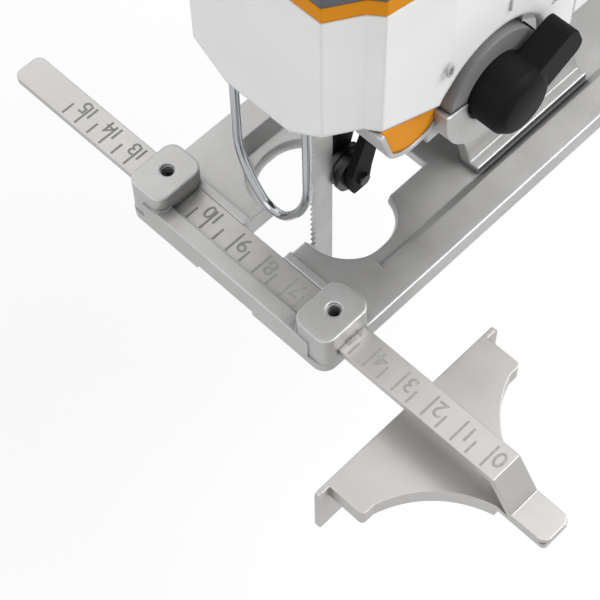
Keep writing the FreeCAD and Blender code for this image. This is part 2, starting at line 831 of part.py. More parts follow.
def gear_case():
    """The casting that carries the drive, the plunger guides, the roller arm and the bevel saddle."""
    y = ("case_front", "case_back")
    arm = ("-guide_arm_half", "guide_arm_half")
    guard_z = ("guard_top - 3.7", LOWER_GUIDE_TOP + " - 4")
    pieces = [
        rod("case_drum", "Y", ("0", GEAR_Z), "case_half", y),
        block("case_body", ("-case_half", "case_half"), y, ("case_bottom", GEAR_Z)),
        block(
            "lower_guide_arm",
            arm,
            (GUARD_BACK + " - 3", "case_front + 1"),
            ("lower_guide_z", LOWER_GUIDE_TOP),
        ),
        block(
            "upper_guide_arm",
            arm,
            (BLADE_MID + " - guide_arm_half", "case_front + 12"),
            ("upper_guide_z", UPPER_GUIDE_TOP),
        ),
        block(
            "guard_bar",
            ("-guard_half - 4", "guard_half + 4"),
            ("guard_y - guard_wire_radius", GUARD_BACK),
            guard_z,
        ),
        block(
            "saddle",
            ("-saddle_half", "saddle_half"),
            ("case_back - 6", "bracket_back"),
            ("0", "shell_bottom - seam"),
        ),
        block(
            "saddle_root",
            ("-saddle_half", "saddle_half"),
            ("case_back - 6", "case_back"),
            ("bracket_radius + 4", "case_bottom + 1"),
        ),
    ]
    for side, sign in (("left", ""), ("right", "-")):
        cheek_x = sorted(("%scheek_in" % sign, "%scheek_out" % sign), key=val)
        cheek = [
            ("cheek_front", "cheek_top"),
            ("cheek_front", "nose_corner_low - 4"),
            ("cheek_front + 1.6", "nose_corner_low - 12", "12"),
            ("case_front + 1", "cheek_bottom"),
            ("case_front + 1", "cheek_top"),
        ]
        pieces.append(prism("cheek_" + side, "YZ", cheek, cheek_x))
        lug_in = "(roller_wide / 2 + fork_side_gap + fork_thick + fork_side_gap)"
        lug_x = sorted(("%s%s" % (sign, lug_in), "%s(%s + lug_thick)" % (sign, lug_in)), key=val)
        pieces.append(
            block(
                "lug_" + side,
                lug_x,
                ("arm_pivot_y - 4", "arm_pivot_y + 4"),
                ("arm_pivot_z - 4", "case_bottom + 1"),
            )
        )
    tools = [
        rod(
            "saddle_room",
            "Y",
            ("0", "0"),
            "bracket_radius + bevel_gap",
            ("bracket_front - 8", "bracket_back + 1"),
        ),
        rod(
            "gear_room",
            "Y",
            ("0", GEAR_Z),
            CAVITY_RADIUS,
            ("case_front + case_wall", "case_back + 1"),
        ),
        rod(
            "crank_room",
            "Y",
            ("0", GEAR_Z),
            "crank_radius + crank_bush_radius + 1.5",
            ("case_front - 1", "gear_front"),
        ),
        rod(
            "pinion_room",
            "Y",
            ("0", "motor_z"),
            "front_bearing_radius - 2",
            ("case_front + case_wall", "case_back + 1"),
        ),
        rod(
            "plunger_bore_low",
            "Z",
            ("0", BLADE_MID),
            "bush_radius",
            ("lower_guide_z - 1", LOWER_GUIDE_TOP + " + 1"),
        ),
        rod(
            "plunger_bore_high",
            "Z",
            ("0", BLADE_MID),
            "bush_radius",
            ("upper_guide_z - 1", UPPER_GUIDE_TOP + " + 1"),
        ),
        rod(
            "ring_room",
            "Z",
            ("0", BLADE_MID),
            "ring_radius + 0.8",
            ("case_bottom - 1", "guard_top - 3.8"),
        ),
        rod(
            "arm_pivot_bore",
            "X",
            ("arm_pivot_y", "arm_pivot_z"),
            "arm_pivot_radius",
            ("-cheek_in", "cheek_in"),
        ),
        rod(
            "selector_bore",
            "X",
            ("dial_y", "dial_z"),
            "selector_shaft_radius + running_fit",
            ("selector_shaft_in - 1", "body_half"),
        ),
    ]
    for index in range(2):
        at = "bevel_screw_front + %d * bevel_screw_pitch" % index
        tools.append(
            rod(
                "saddle_thread%d" % index,
                "Z",
                ("0", at),
                "bevel_screw_radius",
                ("0", "bracket_radius + 14.5"),
            )
        )
    for index, (x, z) in enumerate(CASE_SCREWS):
        tools.append(
            rod(
                "case_thread%d" % index,
                "Y",
                (x, z),
                "screw_radius",
                ("case_back - 11", "case_back + 1"),
            )
        )
    for side, sign in (("left", ""), ("right", "-")):
        where = ("%sguard_half" % sign, "guard_y")
        tools.append(
            rod(
                "guard_socket_" + side,
                "Z",
                where,
                "guard_wire_radius",
                ("guard_top - 4.7", "guard_top"),
            )
        )
    node(cut("gear_case", fuse("case_cast", pieces), *tools), "gear_case")


CASE_SCREWS = [
    ("(%s1) * (case_half - 5)" % s, z)
    for s in ("", "-") for z in ("case_bottom + 6", "motor_z + 2")
]


def bearing_plate():
    """The plate that closes the gear case and holds the front bearing and the gear's pin."""
    y = ("case_back", PLATE_BACK)
    pieces = [
        rod("plate_drum", "Y", ("0", GEAR_Z), "case_half", y),
        block("plate_body", ("-case_half", "case_half"), y, ("case_bottom", GEAR_Z)),
    ]
    span = ("case_back - 1", PLATE_BACK + " + 1")
    tools = [
        rod("front_bearing_seat", "Y", ("0", "motor_z"), "front_bearing_radius", span),
        rod("gear_pin_seat", "Y", ("0", GEAR_Z), "shaft_radius", span),
    ]
    for index, (x, z) in enumerate(CASE_SCREWS):
        tools.append(rod("plate_hole%d" % index, "Y", (x, z), "screw_radius", span))
    node(cut("bearing_plate", fuse("plate_blank", pieces), *tools), "bearing_plate")
    screws = []
    for index, (x, z) in enumerate(CASE_SCREWS):
        shank = rod(
            "case_shank%d" % index,
            "Y",
            (x, z),
            "screw_radius",
            ("case_back - 11", PLATE_BACK),
        )
        head = rod(
            "case_head%d" % index,
            "Y",
            (x, z),
            "screw_head",
            (PLATE_BACK, PLATE_BACK + " + 2.5"),
        )
        screws.append(fuse("case_screw%d" % index, [shank, head]))
    node(group("case_screws", screws), "case_screws")


def drive_train():
    """Gear with its crank pin, the crank roller and the fixed pin that the gear turns on."""
    wheel = toothed(
        "gear_teeth_ring",
        int(val("gear_teeth")),
        val("gear_front"),
        val(GEAR_BACK),
        val(GEAR_Z),
        False,
    )
    bore = ("gear_front - 1", GEAR_BACK + " + 1")
    crank_at = ("crank_radius", GEAR_Z)
    crank_front = "(case_front)"
    crank = rod("crank_pin", "Y", crank_at, "crank_pin_radius", (crank_front, "gear_front + 2"))
    bored = cut(
        "gear_bored",
        wheel,
        rod("gear_bore", "Y", ("0", GEAR_Z), "shaft_radius + running_fit", bore),
    )
    node(fuse("drive_gear", [bored, crank]), "drive_gear")
    node(
        sleeve(
            "crank_bush",
            "Y",
            crank_at,
            "crank_bush_radius",
            "crank_pin_radius",
            (crank_front, "gear_front"),
        ),
        "crank_bush",
    )
    node(
        rod("gear_pin", "Y", ("0", GEAR_Z), "shaft_radius", ("gear_front - 0.5", PLATE_BACK)),
        "gear_pin",
    )


def motor():
    """Stator, armature, fan, bearings and brush gear of the universal motor."""
    centre = ("0", "motor_z")
    shaft_back = "(rear_bearing_front + bearing_long + 2)"
    core = ("stator_front + 4", "stator_front + stator_long - 4")
    pinion = toothed(
        "pinion",
        int(val("pinion_teeth")),
        val("gear_front"),
        val(GEAR_BACK + " + 1"),
        val("motor_z"),
        True,
    )
    shaft = rod("armature_rod", "Y", centre, "shaft_radius", (GEAR_BACK + " + 1", shaft_back))
    node(fuse("armature_shaft", [pinion, shaft]), "armature_shaft")
    node(sleeve("armature_core", "Y", centre, "core_radius", "shaft_radius", core), "armature_core")
    winding = rod("winding_round", "Y", centre, "core_radius - 3", (core[1], core[1] + " + 6"))
    node(
        cut(
            "armature_winding",
            winding,
            rod("winding_bore", "Y", centre, "shaft_radius", (core[1], core[1] + " + 6")),
        ),
        "armature_winding",
    )
    commutator = ("commutator_front", "commutator_front + commutator_long")
    node(
        sleeve("commutator", "Y", centre, "commutator_radius", "shaft_radius", commutator),
        "commutator",
    )
    node(
        sleeve(
            "stator",
            "Y",
            centre,
            "stator_radius",
            "core_radius + air_gap",
            ("stator_front", "stator_front + stator_long"),
        ),
        "stator",
    )
    fan_y = ("fan_front", "fan_front + fan_long")
    hub = rod("fan_hub", "Y", centre, "shaft_radius + 5", fan_y)
    disc = rod("fan_disc", "Y", centre, "fan_radius", (fan_y[0], "fan_front + 2"))
    vanes = []
    for index in range(9):
        vane = block(
            "fan_vane%d" % index,
            ("shaft_radius + 3", "fan_radius - 0.5"),
            ("fan_front + 1", fan_y[1]),
            ("-0.8", "0.8"),
        )
        turned = doc.addObject("Part::Compound", "fan_turn%d" % index)
        turned.Links = [vane]
        turned.Placement = FreeCAD.Placement(Vector(), FreeCAD.Rotation(AXES["Y"], 40 * index))
        place(turned, "0", "0", "motor_z")
        vanes.append(turned)
    fan = cut(
        "fan",
        fuse("fan_blank", [hub, disc, *vanes]),
        rod("fan_bore", "Y", centre, "shaft_radius", ("fan_front - 1", fan_y[1] + " + 1")),
    )
    node(fan, "fan")
    bearings = (
        ("front_bearing", "front_bearing_radius", "case_back"),
        ("rear_bearing", "rear_bearing_radius", "rear_bearing_front"),
    )
    for name, radius, front in bearings:
        span = (front, front + " + bearing_long")
        node(sleeve(name, "Y", centre, radius, "shaft_radius + running_fit", span), name)
    brushes, holders = [], []
    for side, sign in (("left", ""), ("right", "-")):
        y = ("commutator_front + 2", "commutator_front + 10")
        brush_x = sorted(
            ("%s(commutator_radius + 0.3)" % sign, "%s(commutator_radius + 13)" % sign),
            key=val,
        )
        holder_x = sorted(
            ("%s(commutator_radius + 2)" % sign, "%s(body_half - shell_wall - 0.6)" % sign),
            key=val,
        )
        brushes.append(block("brush_" + side, brush_x, y, ("motor_z - 3.5", "motor_z + 3.5")))
        outer = block(
            "holder_outer_" + side,
            holder_x,
            (y[0] + " - 1.5", y[1] + " + 1.5"),
            ("motor_z - 5", "motor_z + 5"),
        )
        room = block(
            "holder_room_" + side,
            ("-body_half", "body_half"),
            y,
            ("motor_z - 3.5", "motor_z + 3.5"),
        )
        holders.append(cut("brush_holder_" + side, outer, room))
    node(group("carbon_brushes", brushes), "carbon_brushes")
    node(group("brush_holders", holders), "brush_holders")


# ---------------------------------------------------------------- plunger, blade and roller guide


def plunger():
    """Rod, yoke, two guide bushes, blade holder and its clamp ring."""
    centre = ("0", BLADE_MID)
    holder_top = "(holder_bottom + holder_high)"
    node(rod("plunger_rod", "Z", centre, "rod_radius", (holder_top, "rod_top")), "plunger_rod")
    for name, low, high in (
        ("lower_bush", "lower_guide_z", "lower_guide_high"),
        ("upper_bush", "upper_guide_z", "upper_guide_high"),
    ):
        node(
            sleeve(
                name,
                "Z",
                centre,
                "bush_radius",
                "rod_radius + running_fit",
                (low, "%s + %s" % (low, high)),
            ),
            name,
        )
    yoke_z = (GEAR_Z + " - yoke_high / 2", GEAR_Z + " + yoke_high / 2")
    plate = block(
        "yoke_plate",
        ("-yoke_half", "yoke_half"),
        (YOKE_BACK + " - yoke_thick", YOKE_BACK),
        yoke_z,
    )
    collar = rod("yoke_collar", "Z", centre, "rod_radius + 2.5", yoke_z)
    track = block(
        "yoke_track",
        ("-yoke_half + 1", "yoke_half - 1"),
        (YOKE_BACK + " - 2", YOKE_BACK + " + 1"),
        (
            GEAR_Z + " - crank_bush_radius - running_fit",
            GEAR_Z + " + crank_bush_radius + running_fit",
        ),
    )
    through = rod("yoke_bore", "Z", centre, "rod_radius", (yoke_z[0] + " - 1", yoke_z[1] + " + 1"))
    node(cut("yoke", fuse("yoke_blank", [plate, collar]), track, through), "yoke")
    holder = rod("holder_round", "Z", centre, "holder_radius", ("holder_bottom", holder_top))
    shank_half = "(shank_wide / 2 + running_fit)"
    slot = block(
        "holder_slot",
        ("-blade_thick / 2 - running_fit", "blade_thick / 2 + running_fit"),
        ("%s - %s" % (BLADE_MID, shank_half), "%s + %s" % (BLADE_MID, shank_half)),
        ("holder_bottom - 1", "blade_shoulder_z + shank_long + 0.2"),
    )
    groove_z = ("ring_bottom - ring_gap", "ring_bottom + ring_high + ring_gap")
    groove = sleeve(
        "holder_groove",
        "Z",
        centre,
        "holder_radius + 1",
        "holder_radius - 0.7",
        groove_z,
    )
    node(cut("blade_holder", holder, slot, groove), "blade_holder")
    ring_z = ("ring_bottom", "ring_bottom + ring_high")
    tab = block(
        "ring_tab",
        ("holder_radius + 1", "ring_radius + 5"),
        ("%s - 3" % BLADE_MID, "%s + 3" % BLADE_MID),
        ring_z,
    )
    outer = rod("ring_round", "Z", centre, "ring_radius", ring_z)
    bore = rod(
        "ring_bore",
        "Z",
        centre,
        "holder_radius - 0.7 + ring_gap",
        (ring_z[0] + " - 1", ring_z[1] + " + 1"),
    )
    node(cut("clamp_ring", fuse("ring_blank", [outer, tab]), bore), "blade_clamp_ring")


def blade():
    """A jigsaw blade: toothed front edge, slanted tip, necked shank with its two ears."""
    mid, half = BLADE_MID, "shank_wide / 2"
    top = "(blade_shoulder_z + shank_long)"
    outline = [
        ("blade_front", "blade_tip_z"),
        (BLADE_BACK, "blade_tip_z + blade_wide"),
        (BLADE_BACK, "blade_shoulder_z"),
        ("%s + %s" % (mid, half), "blade_shoulder_z + 2"),
        ("%s + %s" % (mid, half), top),
        ("%s - %s" % (mid, half), top),
        ("%s - %s" % (mid, half), "blade_shoulder_z + 2"),
        ("blade_front", "blade_shoulder_z"),
    ]
    body = prism("blade_body", "YZ", outline, ("-blade_thick / 2", "blade_thick / 2"))
    pad = body.Tip
    low = "(blade_tip_z + tooth_pitch / 2)"
    gullet = [
        ("blade_front - 1", low),
        ("blade_front", low),
        ("blade_front + tooth_deep", low + " + tooth_pitch * 0.35"),
        ("blade_front", low + " + tooth_pitch"),
        ("blade_front - 1", low + " + tooth_pitch"),
    ]
    sketch = draw(body, "gullet_outline", "YZ", gullet, "-blade_thick")
    pocket = body.newObject("PartDesign::Pocket", "gullet")
    pocket.Profile = sketch
    pocket.Reversed = True
    pocket.setExpression("Length", ex("2 * blade_thick"))
    doc.recompute()
    if pocket.Shape.Volume >= pad.Shape.Volume:
        raise RuntimeError("the gullet cuts nothing")
    row = body.newObject("PartDesign::LinearPattern", "gullets")
    row.Originals = [pocket]
    row.Direction = ([f for f in body.Origin.OriginFeatures if f.Role == "Z_Axis"][0], [""])
    count = int(val("(blade_shoulder_z - 6 - blade_tip_z) / tooth_pitch"))
    row.setExpression("Length", ex("tooth_pitch * %d" % (count - 1)))
    row.Occurrences = count
    body.Tip = row
    node(body, "blade")


def roller_guide():
    """The forked arm that hangs behind the blade, with its grooved roller and two pins."""
    arm = [
        (ROLLER_Y + " - 3.4", "roller_z - 4.6"),
        (ROLLER_Y + " + 2.6", "roller_z - 4.6"),
        (ROLLER_Y + " + 3.6", "roller_z + 2.5"),
        ("arm_pivot_y - 5.5", "arm_pivot_z - 20"),
        ("arm_pivot_y + 3.6", "arm_pivot_z - 3"),
        ("arm_pivot_y + 3.6", "arm_pivot_z + 3.6"),
        ("arm_pivot_y - 3.6", "arm_pivot_z + 3.6"),
        ("arm_pivot_y - 11", "arm_pivot_z - 18"),
        (ROLLER_Y + " - 4.2", "roller_z + 4"),
    ]
    half = "(roller_wide / 2 + fork_side_gap)"
    cheeks = []
    for side, sign in (("left", ""), ("right", "-")):
        x = sorted(("%s%s" % (sign, half), "%s(%s + fork_thick)" % (sign, half)), key=val)
        cheeks.append(prism("fork_" + side, "YZ", arm, x, "1.2"))
    bridge = block(
        "fork_bridge", ("-%s - 1" % half, half + " + 1"), ("arm_pivot_y - 8", "arm_pivot_y - 4"), (
            "arm_pivot_z - 20",
            "arm_pivot_z - 13",
        )
    )
    span = ("-base_wide", "base_wide")
    node(
        cut(
            "roller_arm",
            fuse("fork_blank", [*cheeks, bridge]),
            rod("fork_pin_bore", "X", (ROLLER_Y, "roller_z"), "roller_pin_radius", span),
            rod(
                "fork_pivot_bore",
                "X",
                ("arm_pivot_y", "arm_pivot_z"),
                "arm_pivot_radius + running_fit",
                span,
            ),
        ),
        "roller_arm",
    )
    wide = ("-roller_wide / 2", "roller_wide / 2")
    wheel = rod("roller_round", "X", (ROLLER_Y, "roller_z"), "roller_radius", wide)
    groove = sleeve(
        "roller_groove",
        "X",
        (ROLLER_Y, "roller_z"),
        "roller_radius + 1",
        "roller_radius - 0.6",
        ("-blade_thick * 0.8", "blade_thick * 0.8"),
    )
    bore = rod(
        "roller_bore",
        "X",
        (ROLLER_Y, "roller_z"),
        "roller_pin_radius + running_fit",
        ("-base_wide", "base_wide"),
    )
    node(cut("guide_roller", wheel, groove, bore), "guide_roller")
    pin_half = "(%s + fork_thick + 1.2)" % half
    node(
        rod(
            "roller_pin",
            "X",
            (ROLLER_Y, "roller_z"),
            "roller_pin_radius",
            ("-" + pin_half, pin_half),
        ),
        "roller_pin",
    )
    pivot_half = "(%s + fork_thick + fork_side_gap + lug_thick)" % half
    node(
        rod(
            "arm_pivot_pin",
            "X",
            ("arm_pivot_y", "arm_pivot_z"),
            "arm_pivot_radius",
            ("-" + pivot_half, pivot_half),
        ),
        "arm_pivot_pin",
    )


def blade_guard():
    """A bent wire loop: two straight legs, two long flank bends and a tight bottom bend, all tangent."""
    half, y = val("guard_half"), val("guard_y")
    flank, bottom = val("guard_flank_bend"), val("guard_bottom_bend")
    bottom_z = val("guard_bottom + guard_wire_radius") + bottom
    flank_x = half - flank
    flank_z = bottom_z + math.sqrt((flank - bottom) ** 2 - flank_x**2)
    tilt = math.atan2(bottom_z - flank_z, -flank_x)

    def on(centre_x, centre_z, radius, angle, sign):
        return Vector(
            sign * (centre_x + radius * math.cos(angle)),
            y,
            centre_z + radius * math.sin(angle),
        )

    top = Vector(half, y, val("guard_top"))
    leg_end = on(flank_x, flank_z, flank, 0, 1)
    flank_mid = on(flank_x, flank_z, flank, tilt / 2, 1)
    flank_end = on(flank_x, flank_z, flank, tilt, 1)
    lowest = Vector(0, y, bottom_z - bottom)

    def other(point):
        return Vector(-point.x, point.y, point.z)

    edges = [
        Part.LineSegment(top, leg_end),
        Part.Arc(leg_end, flank_mid, flank_end),
        Part.Arc(flank_end, lowest, other(flank_end)),
        Part.Arc(other(flank_end), other(flank_mid), other(leg_end)),
        Part.LineSegment(other(leg_end), other(top)),
    ]
    spine = Part.Wire([edge.toShape() for edge in edges])
    ring = Part.Wire([Part.Circle(top, AXES["Z"], val("guard_wire_radius")).toShape()])
    node(shaped("blade_guard", spine.makePipeShell([ring], True, False)), "blade_guard")


# ---------------------------------------------------------------- covers and housings


def plan(tag, inset, y):
    """The body from above, from the faceted nose to the tapered tail, kept between two values of Y."""
    right = [
        ("nose_half", "nose_front"),
        ("nose_half + 5.2", "nose_front + 8.4"),
        ("body_half - 4", "nose_front + 11"),
        ("body_half - 3.2", "nose_front + 16.5"),
        ("body_half - 0.8", "nose_front + 30.5"),
        ("body_half", "cover_back"),
        ("body_half", "shell_back - 30"),
        ("tail_half", "shell_back"),
    ]
    right = [("%s - %s" % (x, inset), along) for x, along in right]
    right[0] = (right[0][0], "nose_front + %s" % inset)
    right[-1] = (right[-1][0], "shell_back - %s" % inset)
    left = [("-(%s)" % x, along) for x, along in reversed(right)]
    keep = block("plan_keep_" + tag, ("-base_wide", "base_wide"), y, ("0", "2 * handle_top"))
    return common(
        "plan_" + tag,
        [prism("plan_pad_" + tag, "XY", right + left, ("1", "2 * handle_top - 1")), keep],
    )


def front_cover():
    """The nose shell: faceted in plan, its lower edge raised at the corners and cut round the dial."""
    y = ("nose_front", "cover_back")
    outer = plan("nose", "0", y)
    inner = plan("nose_in", "cover_wall", ("nose_front", "cover_back + 1"))
    height = block(
        "nose_height",
        ("-base_wide", "base_wide"),
        ("nose_front - 1", "cover_back + 1"),
        ("nose_tail_low", "shell_top"),
    )
    shell = cut("nose_shell", common("nose_solid", [outer, height]), inner)
    front_edge = [
        ("-base_wide", "0"),
        ("base_wide", "0"),
        ("base_wide", "nose_corner_low"),
        ("nose_half", "nose_corner_low"),
        ("nose_half / 2", "nose_low"),
        ("-nose_half / 2", "nose_low"),
        ("-nose_half", "nose_corner_low"),
        ("-base_wide", "nose_corner_low"),
    ]
    side_edge = [
        ("nose_front + 9", "0"),
        ("cover_back + 1", "0"),
        ("cover_back + 1", "nose_tail_low"),
        ("cover_back - 14", "nose_tail_low"),
        ("nose_front + 35", "nose_side_low"),
        ("nose_front + 9", "nose_corner_low"),
    ]
    tools = [
        prism("nose_front_edge", "XZ", front_edge, ("nose_front - 1", "nose_front + 9")),
        prism("nose_side_edge", "YZ", side_edge, ("-base_wide", "base_wide")),
        rod(
            "nose_dial_room",
            "X",
            ("dial_y", "dial_z"),
            "dial_radius + dial_recess",
            ("0", "base_wide"),
        ),
    ]
    seats = []
    for side, sign in (("left", ""), ("right", "-")):
        for level, z in (("low", "motor_z + 8"), ("high", "shell_top - 12")):
            x = sorted(("%scase_half" % sign, "%s(body_half - cover_wall + 0.5)" % sign), key=val)
            seats.append(
                block(
                    "nose_seat_%s_%s" % (side, level),
                    x,
                    ("case_front + 4", "case_front + 16"),
                    (z, z + " + 8"),
                )
            )
    node(fuse("cover_whole", [cut("cover_open", shell, *tools), *seats]), "front_cover")


def side_panels():
    """The rounded orange panels that show below the nose cover, seated on the casting."""
    outline = [
        ("nose_front + 10.8", "nose_corner_low - seam - 0.5"),
        ("nose_front + 14", "nose_corner_low - 11", "11"),
        ("nose_front + 33", "nose_side_low"),
    ]
    for side, sign in (("left", ""), ("right", "-")):
        x = sorted(("%scheek_out" % sign, "%s(body_half - 3.4)" % sign), key=val)
        case_x = sorted(("%s(cheek_out - 1)" % sign, "%scase_half" % sign), key=val)
        room = block(
            "panel_case_room_" + side,
            case_x,
            ("case_front", "case_back"),
            ("case_bottom", "case_bottom + 40"),
        )
        panel = cut("panel_seat_" + side, prism("panel_" + side, "YZ", outline, x), room)
        if side == "left":
            panel = cut(
                "panel_cut",
                panel,
                rod("panel_dial_room", "X", ("dial_y", "dial_z"), "dial_radius + 0.4", x),
            )
        node(panel, "side_panel_" + side)


def selector():
    """Orbit selector: the dial, the lever knob on it and the shaft in the gear case."""
    centre = ("dial_y", "dial_z")
    node(rod("selector_dial", "X", centre, "dial_radius", (CASE_FACE, "dial_out")), "selector_dial")
    lever = block(
        "lever_bar",
        ("dial_out + 2", "knob_out - 0.5"),
        ("0", "lever_long"),
        ("-lever_wide / 2", "lever_wide / 2"),
    )
    bar = doc.addObject("Part::Compound", "lever_turned")
    bar.Links = [lever]
    bar.Placement = FreeCAD.Placement(Vector(), FreeCAD.Rotation(AXES["X"], val("lever_angle")))
    place(bar, "0", *centre)
    knob = rod("knob_round", "X", centre, "knob_radius", ("dial_out", "knob_out"))
    node(fuse("selector_knob", [knob, bar]), "selector_knob")
    node(
        rod(
            "selector_shaft",
            "X",
            centre,
            "selector_shaft_radius",
            ("selector_shaft_in", CASE_FACE),
        ),
        "selector_shaft",
    )


# Each clamshell screw: its place in Y and Z, and how far out its bosses reach.
HOUSING_SCREWS = [
    ("stator_front - 5", "motor_z - 22", "(body_half - 9)"),
    ("stator_front - 5", "motor_z + 24", "(body_half - shell_wall + 0.3)"),
    ("shell_back - 8", "motor_z - 18", "(tail_half + 0.5)"),
    ("shell_back - 8", "motor_z + 24", "(tail_half + 0.5)"),
]
HANDLE_SCREWS = [
    ("case_front + 5", "window_high", "(handle_half - 0.3)"),
    ("window_back + 12", "window_low + 8", "(body_half - 6.4)"),
    ("window_back + 10", "window_high + 16", "(handle_half - 2)"),
]


def screw_and_boss(name, spots):
    """For each spot: the bosses of the left and right halves, the hole and the screw along X."""
    bosses, holes, screws = {"left": [], "right": []}, [], []
    for index, (y, z, inner_half) in enumerate(spots):
        tag = "%s%d" % (name, index)
        for side, sign in (("left", ""), ("right", "-")):
            x = sorted(("%s0.05" % sign, "%s%s" % (sign, inner_half)), key=val)
            bosses[side].append(
                rod("%s_boss_%s" % (tag, side), "X", (y, z), "screw_radius + 2.4", x)
            )
        head = ("-body_half", "-(%s - 5)" % inner_half)
        shank = (head[1], "%s - 5" % inner_half)
        holes.append(rod(tag + "_well", "X", (y, z), "screw_head + 0.3", head))
        holes.append(rod(tag + "_hole", "X", (y, z), "screw_radius", (head[1] + " - 1", shank[1])))
        cap = rod(tag + "_head", "X", (y, z), "screw_head", (head[1] + " - 2.4", head[1]))
        cross = [
            block("%s_cross%d" % (tag, n), (head[1] + " - 3", head[1] + " - 1"), *sides)
            for n, sides in enumerate(
                (
                    ((y + " - 0.4", y + " + 0.4"), (z + " - 1.8", z + " + 1.8")),
                    ((y + " - 1.8", y + " + 1.8"), (z + " - 0.4", z + " + 0.4")),
                )
            )
        ]
        blank = fuse(tag + "_blank", [cap, rod(tag + "_shank", "X", (y, z), "screw_radius", shank)])
        screws.append(cut(tag, blank, *cross))
    return bosses, holes, screws


def shell_section(inset):
    """The motor housing's cross-section, with its lower corners cut off."""
    low, top = "shell_bottom + %s" % inset, "shell_top - %s" % inset
    side, corner = "body_half - %s" % inset, "shell_chamfer - %s * 0.41" % inset
    return [
        ("-(%s)" % side, top),
        ("-(%s)" % side, "%s + %s" % (low, corner)),
        ("-(%s) + %s" % (side, corner), low),
        ("%s - (%s)" % (side, corner), low),
        (side, "%s + %s" % (low, corner)),
        (side, top),
    ]


def housings():
    """The two white halves round the motor, with bulkheads for the stator and the rear bearing."""
    front = "(cover_back + seam)"
    outer_y = (front, "shell_back")
    inner_y = (front + " - 1", "shell_back - shell_wall")
    solid = common(
        "housing_solid",
        [plan("tail", "0", outer_y), prism("housing_section", "XZ", shell_section("0"), outer_y)],
    )
    room = common(
        "housing_room",
        [
            plan("tail_in", "shell_wall", inner_y),
            prism("housing_in_section", "XZ", shell_section("shell_wall"), inner_y),
        ],
    )
    walls = []
    centre = ("0", "motor_z")
    seats = (
        ("front_rib", "stator_front + 2", "2.5", "stator_radius"),
        ("rear_rib", "stator_front + stator_long - 5", "2.5", "stator_radius"),
        ("bearing_rib", "rear_bearing_front", "bearing_long", "rear_bearing_radius"),
    )
    for name, at, thick, radius in seats:
        span = (at, "%s + %s" % (at, thick))
        slab = block(name + "_slab", ("-base_wide", "base_wide"), span, ("0", "handle_top"))
        web = common(
            name + "_web",
            [prism(name + "_section", "XZ", shell_section("shell_wall / 2"), span), slab],
        )
        plan_web = common(name + "_fit", [web, plan(name, "shell_wall / 2", span)])
        bore = rod(name + "_bore", "Y", centre, radius, (span[0] + " - 1", span[1] + " + 1"))
        walls.append(cut(name, plan_web, bore))
    bosses, holes, screws = screw_and_boss("housing_screw", HOUSING_SCREWS)
    shell = cut("housing_shell", solid, room)
    vents = [
        block(
            "vent%d" % i,
            ("-base_wide", "base_wide"),
            ("shell_back - 34 + %d" % (5 * i), "shell_back - 31.6 + %d" % (5 * i)),
            ("motor_z + 6", "motor_z + 22"),
        )
        for i in range(4)
    ]
    for side, sign in (("left", ""), ("right", "-")):
        half_x = sorted(("0", "%s2 * body_half" % sign), key=val)
        half = block(
            "housing_half_" + side,
            half_x,
            ("nose_front", "2 * shell_back"),
            ("0", "handle_top"),
        )
        kept = common(
            "housing_kept_" + side,
            [fuse("housing_all_" + side, [shell, *walls, *bosses[side]]), half],
        )
        node(cut("housing_" + side, kept, *holes, *vents), "housing_" + side)
    node(group("housing_screws", screws), "housing_screws")


def accent_band():
    """The orange band between the white housing and the grey handle."""
    y = ("nose_front", "shell_back")
    outer, inner = plan("band", "0", y), plan("band_in", "4.5", y)
    height = block(
        "band_height",
        ("-base_wide", "base_wide"),
        ("nose_front - 1", "shell_back + 1"),
        (BAND_LOW, BAND_TOP),
    )
    node(cut("accent_band", common("band_solid", [outer, height]), inner), "accent_band")


def handle_profile(inset):
    """The handle shells from the side, over nose, grip and tail."""
    return [
        ("nose_front + %s" % inset, "%s" % HANDLE_LOW),
        ("nose_front + 2 + %s" % inset, "handle_top - 46"),
        ("nose_front + 9 + %s" % inset, "handle_top - 24 - %s" % inset),
        ("nose_front + 24", "handle_top - 9 - %s" % inset),
        ("window_front", "handle_top - 3 - %s" % inset),
        ("window_back - 40", "handle_top - %s" % inset),
        ("window_back", "handle_top - 3 - %s" % inset),
        ("window_back + 18 - %s" % inset, "handle_top - 12 - %s" % inset),
        ("window_back + 27 - %s" % inset, "window_high + 4"),
        ("shell_back - 4 - %s" % inset, HANDLE_LOW),
    ]


def handle_section(inset):
    """The handle shells from the front: wide over the gear case and narrow at the grip."""
    half = [
        ("body_half", HANDLE_LOW),
        ("body_half - 1", "window_low + 2"),
        ("body_half - 8", "window_low + 15"),
        ("handle_half + 1.5", "window_high"),
        ("handle_half", "window_high + 14"),
        ("handle_half - 4", "handle_top - 4"),
        ("handle_half - 10", "handle_top"),
    ]
    moved = [
        ("%s - %s" % (x, inset), z + (" - %s" % inset if index == 6 else ""))
        for index, (x, z) in enumerate(half)
    ]
    return moved + [("-(%s)" % x, z) for x, z in reversed(moved)]


def handle_solid(tag, inset):
    y = ("nose_front - 5", "shell_back + 5")
    return common(
        "handle_" + tag,
        [
            prism(
                "handle_side_" + tag,
                "YZ",
                handle_profile(inset),
                ("-body_half - 5", "body_half + 5"),
            ),
            prism("handle_front_" + tag, "XZ", handle_section(inset), y),
            plan("handle_" + tag, inset, y),
        ],
    )


